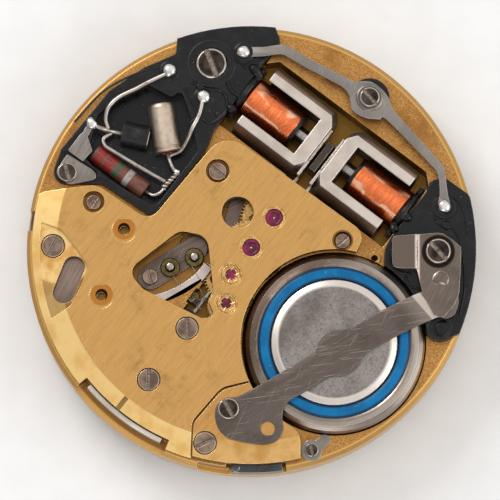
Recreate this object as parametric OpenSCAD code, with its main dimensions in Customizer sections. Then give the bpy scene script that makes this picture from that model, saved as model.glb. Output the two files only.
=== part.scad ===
// Tuning fork watch movement, seen from its back. Millimetres, +Z out of the back,
// origin on the hand axis in the plane of the dial seat.

/* [Plate and bridges] */
// Diameter of the main plate, 12 3/4 lignes
plate_d = 28.8; // [28.6:0.1:29.2]
// Height of the main plate, dial seat to ledge
plate_h = 2.9; // [2.8:0.05:3.1]
// Thickness of the train bridge
bridge_t = 1.0; // [0.9:0.05:1.2]
// Chamfer on the outer edge of the main plate
plate_chamfer = 0.25; // [0.1:0.05:0.3]
// Width of the polished bevel round the train bridge
bevel_w = 1.6; // [1.2:0.1:2]
// Drop of the bevel from the bridge's face to its edge
bevel_drop = 0.35; // [0.2:0.05:0.45]

/* [Tuning fork] */
// Angle of the fork's axis, anticlockwise from +Y
fork_angle = -37.3; // [-38:0.1:-36.5]
// Distance of the cups' common axis from the hand axis
cup_v = 7.9; // [7.8:0.05:8]
// Outer radius of a cup
cup_r = 2.55; // [2.5:0.05:2.6]
// Wall of a cup
cup_wall = 0.44; // [0.3:0.02:0.5]
// Height of a cup between its two flats
cup_h = 3.16; // [3:0.02:3.2]
// Length of a cup along its axis
cup_len = 5.05; // [4.9:0.05:5.1]
// Thickness of a cup's closed end
cup_base = 0.9; // [0.7:0.05:1]
// Thickness of a tine
tine_t = 0.18; // [0.14:0.01:0.22]
// Half the distance between the facing sides of the tines
tine_gap = 0.42; // [0.38:0.01:0.5]
// Height of a tine below the train
tine_h = 0.85; // [0.6:0.05:0.9]
// Radius of the magnet in a cup
magnet_r = 0.5; // [0.4:0.05:0.55]
// Radius of a winding
winding_r = 1.4; // [1.3:0.05:1.5]
// Length of a winding
winding_len = 3.7; // [3.3:0.1:3.75]

/* [Power cell] */
// Diameter of the button cell
cell_d = 11.6; // [11.4:0.1:11.7]
// Height of the button cell
cell_h = 3.6; // [3.5:0.05:3.65]
// Radial clearance of the cell in its well
cell_clear = 0.1; // [0.05:0.01:0.15]
// Outer radius of the coloured sealing ring
gasket_r = 4.85; // [4.7:0.05:5]
// Width of the sealing ring
gasket_w = 0.72; // [0.6:0.02:0.9]
// Thickness of the strap over the cell
strap_t = 0.15; // [0.1:0.01:0.2]

/* [Wheel train] */
// Distance from the seconds axis to the third axis
third_v = 2.42; // [2.4:0.01:2.5]
// Distance from the seconds axis to the first axis
first_v = 2.17; // [2.1:0.01:2.25]
// Thickness of a wheel
wheel_t = 0.12; // [0.1:0.01:0.14]
// Share of a tooth space that is left free as backlash
backlash = 0.25; // [0.2:0.01:0.3]
// Radius of an arbor
arbor_r = 0.1; // [0.08:0.01:0.11]
// Radius of a bridge jewel
jewel_r = 0.58; // [0.5:0.02:0.6]
// Outer radius of a jewel's brass setting
setting_r = 0.74; // [0.7:0.02:0.78]

/* [Hand fittings] */
// Radius of the hour wheel's pipe
hour_pipe_r = 0.76; // [0.7:0.01:0.8]
// Radius of the cannon pinion's pipe
minute_pipe_r = 0.45; // [0.42:0.01:0.5]
// Radius of the seconds arbor
seconds_r = 0.12; // [0.1:0.01:0.13]
// Length of the hour pipe below the dial seat
hour_pipe_len = 0.55; // [0.4:0.05:0.6]
// Length of the minute pipe below the dial seat
minute_pipe_len = 1.0; // [0.9:0.05:1.1]
// Length of the seconds arbor below the dial seat
seconds_len = 1.5; // [1.4:0.05:1.6]
// Radius of a hole for a dial's foot
dial_foot_r = 0.48; // [0.46:0.01:0.5]
// Radius of the stem's bore
stem_r = 0.45; // [0.4:0.02:0.5]

/* [Hidden] */
$fn = 64;

// Small amount that a cutter runs past a face
past = 0.05;
// Running clearance of a pivot, a pipe or a screw in its hole
run = 0.03;
// Facets of an oblong's round end
end_facets = 14;
// Height above every piece, for cutters that go right through
far = 6;
// Clearance round a screw's head in its sink
head_gap = 0.04;

plate_r = plate_d / 2;
ledge_z = plate_h;
bridge_z = ledge_z;
bridge_top = bridge_z + bridge_t;
bridge_r = plate_r - 0.35;
web_z = 0.9;
slot_z = 1.25;
train_z = plate_h - 0.65;

// Fork, in its own frame: u across the tines, v along the axis to the cups
cup_z = plate_h - 0.7;
cup_u = tine_gap + tine_t;
fork_root_v = -5.4;
fork_base_v = -6.2;
fork_base_w = 2.0;
fork_base_t = 1.05;
// Clearance of the base in its slot, and of the tines under the train
fork_slot_gap = 0.15;
fork_screw = [[0, -5.8], 0.4, 20, 0.3, 1.6];
tine_z = slot_z + 0.1;
// Part of a tine that rises beside its cup
tine_foot_v = 0.4;
tine_lap = 0.9;
tine_end_len = 3.6;
tine_end_h = 2.15;
recess_v0 = cup_v - cup_r - 0.15;
recess_v1 = 10.8;
recess_reach = 8;
recess_z = cup_z - 1.75;
flange_u = 6.15;
flange_t = 0.45;
flange_w = 4.2;
flange_h = 2.2;
recess_u = flange_u + flange_t + 0.02;
spool_r = 0.8;
spool_bore_r = magnet_r + 0.12;
spool_lip = 0.2;
spool_lip_r = winding_r - 0.12;
magnet_back = 1.0;

// Power cell
cell_at = [5.3, -6.1];
cell_r = cell_d / 2;
well_r = cell_r + cell_clear;
cell_z = bridge_top - cell_h;
strap_z = bridge_top;
contact_z = strap_z + strap_t;

// Train axes in the fork's frame, and tooth counts
index_at = [0.9, -3.82];
first_at = [0, -first_v];
third_at = [0, third_v];
index_leaves = 6;
first_teeth = 48;
first_leaves = 7;
seconds_teeth = 63;
seconds_leaves = 8;
third_teeth = 60;
third_leaves = 8;
centre_teeth = 64;
cannon_leaves = 12;
minute_teeth = 36;
minute_leaves = 10;
hour_teeth = 40;
index_teeth = 120;
index_r = 1.2;
index_wheel_t = 0.05;
pinion_t = 0.24;
pivot_r = 0.05;
low_pivot = 0.15;
top_pivot = 0.45;
shake = 0.03;
wheel_spokes = 4;
motion_dist = 1.9;
motion_angle = 200;
minute_arbor_r = 0.15;
// Rooms under the train for the seconds, third, first and index wheels
seconds_well_r = 2.2;
third_well_r = 2.45;
first_well_r = 1.9;
index_well_r = 1.75;
// Rooms on the dial side round the centre, the third arbor and the minute wheel
motion_wells = [2.33, 0.75, 1.65];
pawl_room_at = [-1.3, -5.2];
pawl_room = [1.3, 1.1];
finger_post_at = [2.35, -5.0];
finger_post_r = 0.25;
index_dist = norm(index_at - first_at);
low_wheel_z = train_z + 0.1;
index_wheel_z = bridge_z - 0.2;
seconds_wheel_z = bridge_z - 0.24;
centre_wheel_z = 0.66;
hour_wheel_z = 0.16;
minute_wheel_z = 0.42;
centre_tube_r = 0.285;
// Length of the centre wheel's tube below the dial seat
centre_tube_len = 0.35;
// Full radius of the seconds arbor, of the cannon pinion and of the hour wheel's boss, past
// the shoulders that stop the hands
seconds_body_r = seconds_r + 0.02;
cannon_body_r = minute_pipe_r + 0.155;
hour_boss_r = hour_pipe_r + 0.17;
// Length that the shoulders leave free between one hand's seat and the next pipe
seat_gap = 0.05;
seconds_seat_z = -minute_pipe_len - seat_gap;
seconds_taper = 0.65;
minute_seat_z = -hour_pipe_len - seat_gap;
hour_shoulder_z = -0.03;

// Outlines, each point with the radius of its corner
bridge_pts = [[-13.75, 3.6, 1.0], [-9.9, 4.05, 1.2], [-6.5, 1.7, 0.9], [-1.7, 7.5, 1.6],
    [7.3, 0.9, 0.9], [6.4, -0.9, 0.8], [3.0, -1.0, 0], [1.0, -8.3, 0], [-1.9, -9.0, 1.4],
    [-3.8, -11.2, 1.0], [-3.9, -15, 0], [-15.5, -15, 0], [-15.5, -2, 0]];
block_pts = [[1.0, -8.4, 0], [-1.85, -9.15, 1.4], [-3.7, -11.3, 1.0], [-3.8, -14.6, 0.3],
    [3.1, -14.6, 1.0], [3.15, -11.9, 1.2], [1.6, -10.9, 0.4]];
module1_pts = [[-13.0, 4.2, 0.8], [-12.2, 6.4, 0.5], [-9.1, 10.2, 0.8], [-6.9, 11.7, 0.8],
    [-4.8, 12.6, 0.4], [-4.7, 15, 0], [1.3, 15, 0], [1.9, 13.4, 0.6], [0.75, 11.75, 0.4],
    [-2.35, 7.7, 0.4], [-3.0, 6.2, 0.5], [-6.3, 2.0, 0.6], [-9.6, 4.2, 0.6]];
tray_pts = [[-9.9, 8.6, 0.3], [-8.6, 9.8, 0.4], [-6.8, 10.7, 0.3], [-5.1, 9.8, 0.3],
    [-4.5, 10.3, 0.3], [-3.75, 8.2, 0.3], [-3.4, 6.3, 0.4], [-6.2, 2.6, 0.5],
    [-9.2, 4.5, 0.3], [-10.2, 5.3, 0.2], [-10.7, 5.9, 0.2], [-10.25, 7.2, 0.3]];
module2_pts = [[11.5, 4.4, 0.4], [12.5, 4.5, 0.4], [13.9, 3.5, 0.5], [15.2, 1, 0],
    [15.2, -4.4, 0], [13.7, -5.3, 0.4], [12.0, -6.1, 0.9], [10.9, -5.4, 0.4],
    [9.2, -3.6, 0], [8.5, -1.2, 0.4], [8.6, 0.0, 0.3], [9.0, 0.8, 0.3], [11.2, 3.6, 0.2]];
window_pts = [[-7.95, -1.5, 0.75], [-4.6, 1.1, 1.0], [-2.8, 0.75, 1.0], [-2.4, -3.0, 0.2],
    [-2.75, -3.4, 0.2], [-2.3, -4.5, 0.3], [-3.2, -4.55, 0.3], [-6.9, -2.7, 0.6]];
pocket_pts = [[-15, 2.2, 0], [-12.2, 1.2, 0.8], [-11.1, -0.2, 0.8], [-10.4, -1.2, 0.8],
    [-10.9, -2.5, 0.5], [-11.6, -3.8, 0.4], [-14, -5.3, 0]];
strap_pts = [[-2.4, -10.4, 0.8], [-1.5, -9.5, 0.4], [3.9, -6.85, 0.3], [4.45, -5.75, 0.4],
    [5.4, -5.15, 0.6], [6.5, -5.15, 0.4], [10.9, -2.8, 0.3], [13.3, -2.6, 0.5],
    [12.8, -4.7, 0.6], [12.0, -4.4, 0.3], [7.1, -6.95, 0.3], [6.7, -7.8, 0.4],
    [5.6, -8.45, 0.6], [4.7, -8.4, 0.4], [2.0, -9.95, 0.4], [1.8, -10.8, 0.4],
    [2.2, -12.0, 0.8], [1.2, -12.9, 0.6], [-1.4, -12.3, 0.8]];
contact_pts = [[9.05, 0.65, 0.2], [12.2, 0.9, 0.4], [13.45, 0.0, 0.3], [13.3, -2.9, 0.3],
    [12.6, -3.95, 0.5], [11.7, -4.45, 0.1], [10.9, -2.85, 0.2], [10.6, -1.35, 0.1],
    [9.0, -1.35, 0.2]];
ground_pts = [[-10.9, 7.45, 0.1], [-11.75, 6.3, 0.1], [-10.8, 5.6, 0.1], [-10.2, 6.3, 0.1],
    [-10.5, 7.2, 0.1]];
corner_pts = [[-11.8, 6.1, 0.1], [-10.2, 5.1, 0.1], [-9.7, 4.5, 0.3], [-11.7, 4.1, 0.6],
    [-12.6, 4.9, 0.4]];

// Screws: place, radius of the head, turn of the slot, height of the head, length
flush_screws = [[[-4.1, -5.2], 0.72, 92, 0.4, 1.8], [[-6.55, -8.5], 0.72, 88, 0.4, 1.8]];
sunk_screws = [[[-10.1, 2.95], 0.48, 55, 0.35, 1.5], [[-2.15, 4.95], 0.6, -40, 0.35, 1.5],
    [[5.85, 0.45], 0.5, 42, 0.35, 1.5]];
sunk_bore_r = [0.7, 0.76, 0.56];
pocket_screw = [[-12.7, 0.15], 0.74, 62, 0.3, 1.4];
block_screw = [[-2.95, -12.55], 0.72, 25, 0.4, 1.8];
strap_screw = [[-1.45, -10.4], 0.68, -62, 0.3, 2.2];
clip_screw = [[3.85, -12.95], 0.44, -75, 0.3, 1.6];
module_screw = [[-2.55, 11.95], 0.98, -68, 0.4, 2.2];
corner_screw = [[-11.8, 4.9], 0.62, -72, 0.3, 2.0];
bar_screw = [[7.6, 9.7], 0.64, -48, 0.3, 2.3];
plate_screw = [[11.95, -0.3], 0.8, -47, 0.3, 2.9];
lever_screw = [[-6.5, -1.75], 0.5, -75, 0.25, 1.5];
shank_r = 0.3;
// Depths below the bridge's face of the sinks of flush and of low screws, and of the pocket
flush_sink = 0.4;
low_sink = 0.6;
low_head = 0.25;
pocket_sink = 0.45;
pocket_screw_sink = 0.75;
// Windows and steady pins of the bridge
rocker_window = [[-11.35, -1.2], [-12.0, -2.85]];
rocker_window_r = 0.7;
third_window_at = [-0.87, 2.26];
third_window_r = 1.03;
steady_pins = [[-8.15, 1.1], [-9.6, -3.15]];
steady_pin_r = 0.27;
steady_sink_r = 0.78;
steady_sink = 0.12;
// Stud of the main plate beside the cell, and the depth of a dial foot's hole
stud_at = [7.9, -0.6];
stud_r = 0.42;
stud_h = 0.12;
stud_bore_r = 0.22;
dial_feet = [[-9.2, -9.6], [9.2, 9.6]];
dial_foot_depth = 1.6;
module_z = plate_h - 1.4;
tray_z = plate_h - 0.9;
module_top = plate_h + 0.6;
// Raised rings, lands and button of the mouldings
collar_w = 0.55;
collar_h = 0.15;
land = [[9.9, -0.4], [11.95, -0.5]];
land_r = 0.95;
button_at = [11.95, -5.1];
button_r = 0.85;
button_bore_r = 0.65;
button_h = 0.2;
strap_rest = [[12.6, -2.6], [12.7, -3.6]];
strap_rest_r = 0.5;
corner_sink = 0.35;
corner_clamp_t = 0.25;
strap_hole = [1.05, -11.65];
strap_hole_r = 0.45;
clip_t = 0.14;
clip_r = 0.68;
clip_nose = [4.7, -12.3];
clip_nose_r = 0.36;
post_at = [[-5.2, -1.15], [-3.65, -0.5]];
post_r = 0.25;
post_collar_r = 0.52;
post_collar_h = 0.14;
detent = [[-7.3, -3.65], [-2.95, -1.1]];
detent_r = 0.38;
detent_room_r = 0.55;
detent_z = bridge_z - 0.18;
rocker = [[-11.3, -0.9], [-12.1, -3.1]];
rocker_r = 0.9;
rocker_room_r = 0.95;
rocker_t = 0.3;
lever_end = [-3.6, 0.1];
lever_r = 0.8;
lever_room = [-3.4, 0.1];
lever_room_r = 1.45;
lever_arm = [lever_end, [-1.5, 1.2], [-0.95, 3.0]];
lever_arm_w = 0.9;
lever_arm_t = 0.2;
lever_boss_r = 0.45;
lever_arm_room = [[-3.75, 0.3], [-1.72, 1.45], [-1.15, 3.1]];
lever_arm_room_w = 1.72;
lever_low_z = plate_h - 0.9;
lever_z = lever_low_z + 0.32;
lever_t = 0.24;
lever_top = lever_z + lever_t;
post_top = bridge_z + 0.4;

// Points along a corner of an outline, rounded with the radius in the corner's third value
function corner(a, b, c) =
    let (p = [b[0], b[1]], r = b[2],
        u = [a[0] - p[0], a[1] - p[1]] / norm([a[0] - p[0], a[1] - p[1]]),
        w = [c[0] - p[0], c[1] - p[1]] / norm([c[0] - p[0], c[1] - p[1]]),
        half = acos(max(-1, min(1, u * w))) / 2)
    r <= 0 || half > 89 ? [p] :
    let (o = p + (u + w) / norm(u + w) * r / sin(half),
        p0 = p + u * r / tan(half), p1 = p + w * r / tan(half),
        a0 = atan2(p0[1] - o[1], p0[0] - o[0]), a1 = atan2(p1[1] - o[1], p1[0] - o[0]),
        turn = a1 - a0 > 180 ? a1 - a0 - 360 : a1 - a0 < -180 ? a1 - a0 + 360 : a1 - a0)
    [for (i = [0:6]) o + r * [cos(a0 + turn * i / 6), sin(a0 + turn * i / 6)]];
function outline(pts) =
    let (n = len(pts))
    [for (i = [0:n - 1]) each corner(pts[(i + n - 1) % n], pts[i], pts[(i + 1) % n])];
// A place in the fork's frame, in the frame of the movement
function from_fork(p) =
    [p[0] * cos(fork_angle) - p[1] * sin(fork_angle), p[0] * sin(fork_angle) + p[1] * cos(fork_angle)];
function pitch_r(dist, own, other) = dist * own / (own + other);

module slab(pts, z0, z1) {
    translate([0, 0, z0]) linear_extrude(z1 - z0) polygon(outline(pts));
}
module disc(at, r, z0, z1, fn = 64) {
    translate([at[0], at[1], z0]) cylinder(r = r, h = z1 - z0, $fn = fn);
}
module in_fork() {
    rotate([0, 0, fork_angle]) children();
}
// Oblong of radius r from a to b
module oblong(a, b, r, z0, z1) {
    t = atan2(b[1] - a[1], b[0] - a[0]);
    step = 180 / end_facets;
    translate([0, 0, z0]) linear_extrude(z1 - z0) polygon(concat(
        [for (i = [0:end_facets]) b + r * [cos(t - 90 + i * step), sin(t - 90 + i * step)]],
        [for (i = [0:end_facets]) a + r * [cos(t + 90 + i * step), sin(t + 90 + i * step)]]));
}
// Flat bar along a line of points
module bar(pts, w, z0, z1) {
    for (i = [0:len(pts) - 2]) oblong(pts[i], pts[i + 1], w / 2, z0, z1);
}
// Slotted screw with its head's top at z
module screw(s, z) {
    slot_w = 0.22 * s[1];
    difference() {
        union() {
            disc(s[0], s[1], z - s[3], z);
            disc(s[0], shank_r - run, z - s[4], z - s[3] + past);
        }
        translate([s[0][0], s[0][1], z]) rotate([0, 0, s[2]])
            cube([2.2 * s[1], slot_w, 0.5 * s[3]], center = true);
    }
}
// Wheel with straight-sided teeth on a pitch circle of radius r
module toothed(teeth, r, t, bore = 0, spokes = 0) {
    pitch = 2 * r * PI / teeth;
    tall = 0.42 * pitch;
    share = 0.5 * (1 - backlash);
    step = 360 / teeth;
    difference() {
        linear_extrude(t) polygon([for (i = [0:teeth - 1], k = [0:3])
            let (a = i * step + step * share * [-0.62, -0.3, 0.3, 0.62][k],
                q = r + tall * [-1, 0.8, 0.8, -1][k])
            q * [cos(a), sin(a)]]);
        if (bore > 0) translate([0, 0, -past]) cylinder(r = bore, h = t + 2 * past);
        if (spokes > 0) for (i = [0:spokes - 1]) rotate([0, 0, (i + 0.5) * 360 / spokes])
            translate([0.55 * r, 0, -past]) cylinder(r = 0.24 * r, h = t + 2 * past, $fn = 24);
    }
}
function smooth_path(p, n) =
    [for (i = [0:len(p) - 2], k = [0:n - 1])
        let (a = p[max(i - 1, 0)], b = p[i], c = p[i + 1], d = p[min(i + 2, len(p) - 1)], t = k / n)
        0.5 * (2 * b + (c - a) * t + (2 * a - 5 * b + 4 * c - d) * t * t
            + (3 * b - a - 3 * c + d) * t * t * t), p[len(p) - 1]];
// Round wire swept along a smooth path
module wire(p, r, sides = 8) {
    q = smooth_path(p, 4);
    n = len(q);
    rings = [for (i = [0:n - 1])
        let (t = q[min(i + 1, n - 1)] - q[max(i - 1, 0)], f = t / norm(t),
            s = cross([0, 0, 1], f) / norm(cross([0, 0, 1], f)), w = cross(f, s))
        for (k = [0:sides - 1]) q[i] + r * (cos(360 * k / sides) * s + sin(360 * k / sides) * w)];
    sides_faces = [for (i = [0:n - 2], k = [0:sides - 1])
        let (k1 = (k + 1) % sides, a = i * sides)
        each [[a + k, a + sides + k1, a + k1], [a + k, a + sides + k, a + sides + k1]]];
    ends = [for (k = [1:sides - 2]) each
        [[0, k, k + 1], [(n - 1) * sides, (n - 1) * sides + k + 1, (n - 1) * sides + k]]];
    polyhedron(rings, concat(sides_faces, ends));
}

// Every place where a screw goes into the main plate
screw_holes = [for (s = concat(flush_screws, sunk_screws,
    [pocket_screw, block_screw, clip_screw, module_screw, corner_screw, bar_screw, plate_screw,
        strap_screw])) s[0]];

module main_plate() {
    color("goldenrod") difference() {
        union() {
            cylinder(r = plate_r, h = plate_h - plate_chamfer, $fn = 180);
            translate([0, 0, plate_h - plate_chamfer])
                cylinder(r1 = plate_r, r2 = plate_r - plate_chamfer, h = plate_chamfer, $fn = 180);
            disc(stud_at, stud_r, plate_h - past, plate_h + stud_h, 32);
        }
        disc(cell_at, well_r, cell_z, plate_h + 1, 120);
        slab(module1_pts, module_z, plate_h + 1);
        slab(module2_pts, module_z, plate_h + 1);
        in_fork() fork_room();
        in_fork() train_room();
        setting_room();
        motion_room();
        for (p = screw_holes) disc(p, shank_r, web_z, plate_h + 1, 32);
        for (p = dial_feet) disc(p, dial_foot_r, -past, dial_foot_depth, 32);
        disc(stud_at, stud_bore_r, web_z, plate_h + 1, 24);
        rim_cuts();
    }
}
// Room for the cups, the coils and the tines
module fork_room() {
    slab([[-recess_u, recess_v0, 0], [recess_u, recess_v0, 0], [recess_u, recess_v1 - 0.7, 0.3],
        [recess_u - 0.7, recess_v1, 0.3], [-recess_u + 0.7, recess_v1, 0.3],
        [-recess_u, recess_v1 - 0.7, 0.3]], recess_z, plate_h + 1);
    translate([-fork_base_w / 2 - fork_slot_gap, fork_base_v - past, slot_z])
        cube([fork_base_w + 2 * fork_slot_gap, recess_v0 - fork_base_v + 0.2, far]);
    disc(fork_screw[0], shank_r, web_z, 2, 32);
}
// Room for the wheels, and holes for their arbors
module train_room() {
    disc([0, 0], seconds_well_r, train_z, plate_h + 1);
    disc(third_at, third_well_r, train_z, plate_h + 1);
    disc(first_at, first_well_r, train_z, plate_h + 1);
    disc(index_at, index_well_r, train_z, plate_h + 1);
    disc([0, 0], centre_tube_r + run, web_z - past, slot_z + past, 32);
    disc(third_at, arbor_r + 0.1, web_z - past, slot_z + past, 32);
    for (p = [first_at, index_at]) disc(p, low_jewel_r, slot_z - low_jewel_t, slot_z + past, 32);
    disc(index_at, low_jewel_r, slot_z - low_jewel_t, train_z + past, 32);
    translate([pawl_room_at[0], pawl_room_at[1], slot_z]) cube([pawl_room[0], pawl_room[1], far]);
    disc(finger_post_at, finger_post_r + 0.1, train_z, plate_h + 1, 32);
}
// Room for the setting lever and its detent, and for the stem that works them
module setting_room() {
    oblong(lever_screw[0], lever_room, lever_room_r, train_z, plate_h + 1);
    bar(lever_arm_room, lever_arm_room_w, lever_low_z - 0.06, plate_h + 1);
    oblong(detent[0], detent[1], detent_room_r, detent_z - 0.02, plate_h + 1);
    disc(lever_screw[0], shank_r, web_z, plate_h, 32);
    oblong(rocker[0], rocker[1], rocker_room_r, train_z, plate_h + 1);
    stem_line() translate([0, 0, stem_z + 0.3]) cube([4, bush_w + past, 1.9], center = true);
}
// Turned from +X to the stem's direction, with X out along it and Z at the stem's height
stem_angle = 172.5;
stem_z = plate_h - 1.0;
bush_w = 1.25;
module stem_line() {
    rotate([0, 0, stem_angle]) translate([plate_r - 1.2, 0, 0]) children();
}
// Dial side room for the minute and hour work
module motion_room() {
    motion_outline(0, -past, web_z);
}
module motion_outline(gap, z0, z1) {
    disc([0, 0], motion_wells[0] - gap, z0, z1);
    disc(from_fork(third_at), motion_wells[1] - gap, z0, z1);
    disc(motion_at, motion_wells[2] - gap, z0, z1);
}
motion_at = motion_dist * [cos(motion_angle), sin(motion_angle)];
rim_slot_r = plate_r - 0.98;
rim_slot_z = plate_h - 0.9;
catch_r = plate_r - 0.65;
catch_z = plate_h - 1.4;
// Angles between which the rim is cut for the spring, plainly, and for the dial foot's catch
spring_arc = [218.5, 247];
notch_arc = [256, 264.2];
catch_arc = [263.4, 279];
spring_t = 0.31;
spring_h = 1.3;
catch_pin_r = 0.24;
catch_pin_angle = 265.9;
module rim_cuts() {
    rim_sector(rim_slot_r, plate_r + 1, spring_arc, rim_slot_z, plate_h + 1);
    rim_sector(plate_r - 0.35, plate_r + 1, notch_arc, web_z, plate_h + 1);
    rim_sector(catch_r - past, plate_r + 1, catch_arc, catch_z, plate_h + 1);
}
// Part of a ring between two radii and two angles
module rim_sector(r0, r1, arc, z0, z1) {
    steps = 12;
    angles = [for (i = [0:steps]) arc[0] + (arc[1] - arc[0]) * i / steps];
    translate([0, 0, z0]) linear_extrude(z1 - z0) polygon(concat(
        [for (a = angles) r0 * [cos(a), sin(a)]],
        [for (i = [steps:-1:0]) r1 * [cos(angles[i]), sin(angles[i])]]));
}

// Slot in the bridge's bevel where a lever lifts it
lift_angle = 230.5;
lift_slot = [1.1, 0.3, 1.0];
module train_bridge() {
    color("gold") difference() {
        intersection() {
            slab(bridge_pts, bridge_z, bridge_top);
            union() {
                disc([0, 0], bridge_r, bridge_z, bridge_top - bevel_drop, 180);
                translate([0, 0, bridge_top - bevel_drop])
                    cylinder(r1 = bridge_r, r2 = bridge_r - bevel_w, h = bevel_drop, $fn = 180);
            }
        }
        disc(cell_at, well_r + 0.1, 0, far, 120);
        slab(window_pts, 0, far);
        intersection() {
            slab(pocket_pts, bridge_top - pocket_sink, far);
            disc([0, 0], bridge_r - 0.5, 0, far, 180);
        }
        oblong(rocker_window[0], rocker_window[1], rocker_window_r, 0, far);
        disc(third_window_at, third_window_r, 0, far);
        for (s = flush_screws) disc(s[0], s[1] + head_gap, bridge_top - flush_sink, far);
        for (i = [0:2]) disc(sunk_screws[i][0], sunk_bore_r[i], bridge_top - low_sink, far);
        disc(pocket_screw[0], pocket_screw[1] + head_gap, bridge_top - pocket_screw_sink, far);
        for (s = concat(flush_screws, sunk_screws, [pocket_screw])) disc(s[0], shank_r, 0, far, 32);
        for (p = steady_pins) {
            disc(p, steady_pin_r, 0, far, 32);
            disc(p, steady_sink_r, bridge_top - steady_sink, far);
        }
        in_fork() for (p = [[0, 0], third_at, first_at, index_at]) disc(p, setting_r, 0, far);
        rim_sector(rim_slot_r, plate_r + 1, spring_arc, 0, far);
        rotate([0, 0, lift_angle]) translate([plate_r - 1.35, 0, bridge_top]) cube(lift_slot, center = true);
    }
}
module strap_block() {
    color("goldenrod") difference() {
        intersection() {
            slab(block_pts, ledge_z, bridge_top);
            disc([0, 0], bridge_r - 0.15, 0, far, 180);
        }
        disc(cell_at, well_r + 0.1, 0, far, 120);
        disc(block_screw[0], block_screw[1] + head_gap, bridge_top - flush_sink, far);
        for (s = [block_screw, strap_screw]) disc(s[0], shank_r, 0, far, 32);
    }
}
module motion_cover() {
    color("silver") difference() {
        motion_outline(run, 0, wheel_t);
        disc([0, 0], hour_boss_r + 2 * run, -past, far);
        disc(from_fork(third_at), pivot_r + run, -past, far, 32);
        disc(motion_at, minute_arbor_r + run, -past, far, 32);
    }
}

// The fork: its base, two tines, and a cup with a magnet on each
module fork_base() {
    color("lightgray") in_fork() difference() {
        translate([-fork_base_w / 2, fork_base_v, slot_z])
            cube([fork_base_w, fork_root_v - fork_base_v, fork_base_t]);
        disc(fork_screw[0], shank_r, 0, far, 32);
    }
}
module tine(side) {
    color("silver") in_fork() {
        translate([side > 0 ? tine_gap : -tine_gap - tine_t, fork_root_v, tine_z])
            cube([tine_t, recess_v0 + tine_lap - fork_root_v, tine_h]);
        translate([side > 0 ? tine_gap : -tine_gap - tine_t, recess_v0 + tine_foot_v, tine_z])
            cube([tine_t, tine_end_len, tine_end_h]);
    }
}
// Turns +Z of its children to point away from the tines, along the cups' axis
module cup_frame(side) {
    in_fork() translate([side * cup_u, cup_v, cup_z]) rotate([0, side * 90, 0]) children();
}
module cup(side) {
    color("lightgray") cup_frame(side) intersection() {
        difference() {
            union() {
                translate([0, 0, cup_base / 2]) cylinder(r = cup_r, h = cup_len - cup_base / 2, $fn = 96);
                cylinder(r1 = cup_r - cup_base / 2, r2 = cup_r, h = cup_base / 2 + 0.001, $fn = 96);
            }
            translate([0, 0, cup_base]) cylinder(r = cup_r - cup_wall, h = cup_len, $fn = 96);
        }
        translate([-cup_h / 2, -cup_r - 1, -1]) cube([cup_h, 2 * cup_r + 2, cup_len + 2]);
    }
}
module magnet(side) {
    color("dimgray") cup_frame(side) translate([0, 0, cup_base])
        cylinder(r = magnet_r, h = cup_len - cup_base - magnet_back, $fn = 48);
}
module bobbin(side) {
    out = flange_u - cup_u;
    color("#202124") difference() {
        union() {
            cup_frame(side) translate([0, 0, out - winding_len - spool_lip])
                cylinder(r = spool_r, h = winding_len + spool_lip + past, $fn = 48);
            cup_frame(side) translate([0, 0, out - winding_len - spool_lip])
                cylinder(r = spool_lip_r, h = spool_lip, $fn = 48);
            in_fork() translate([side > 0 ? flange_u : -flange_u - flange_t, cup_v - flange_w / 2, module_z])
                cube([flange_t, flange_w, flange_h]);
        }
        cup_frame(side) cylinder(r = spool_bore_r, h = out + flange_t + 1, $fn = 48);
    }
}
module winding(side) {
    out = flange_u - cup_u;
    color("#c8642c") cup_frame(side) difference() {
        translate([0, 0, out - winding_len]) cylinder(r = winding_r, h = winding_len, $fn = 64);
        cylinder(r = spool_r, h = out + 1, $fn = 48);
    }
}

// Black mouldings that carry the circuit and the contacts
corner_room = [[-14, 3.9, 0], [-14, 6.6, 0], [-11.8, 6.3, 0], [-9.9, 5.0, 0], [-9.6, 4.3, 0]];
module circuit_module() {
    color("#1b1c20") difference() {
        intersection() {
            union() {
                slab(module1_pts, module_z, module_top);
                disc(module_screw[0], module_screw[1] + collar_w, module_top - past, module_top + collar_h);
            }
            disc([0, 0], plate_r, 0, far, 180);
        }
        slab(tray_pts, tray_z, far);
        in_fork() translate([-recess_u, recess_v0, 0]) cube([2 * recess_u, recess_reach, far]);
        for (s = [module_screw, corner_screw]) disc(s[0], shank_r, 0, far, 32);
        disc(module_screw[0], module_screw[1] + 0.06, module_top - collar_h, far);
        slab(corner_room, module_top - corner_sink, far);
    }
}
module contact_module() {
    color("#1b1c20") difference() {
        intersection() {
            union() {
                slab(module2_pts, module_z, module_top);
                oblong(land[0], land[1], land_r, module_top - past, contact_z);
                disc(button_at, button_r, module_top - past, module_top + button_h);
                oblong(strap_rest[0], strap_rest[1], strap_rest_r, module_top - past, strap_z);
            }
            disc([0, 0], plate_r, 0, far, 180);
        }
        disc(cell_at, well_r + past, 0, far, 120);
        disc(plate_screw[0], shank_r, 0, far, 32);
        disc(button_at, button_bore_r, module_top, far, 48);
        in_fork() translate([-recess_u, recess_v0, 0]) cube([2 * recess_u, recess_reach, far]);
    }
}

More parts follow.
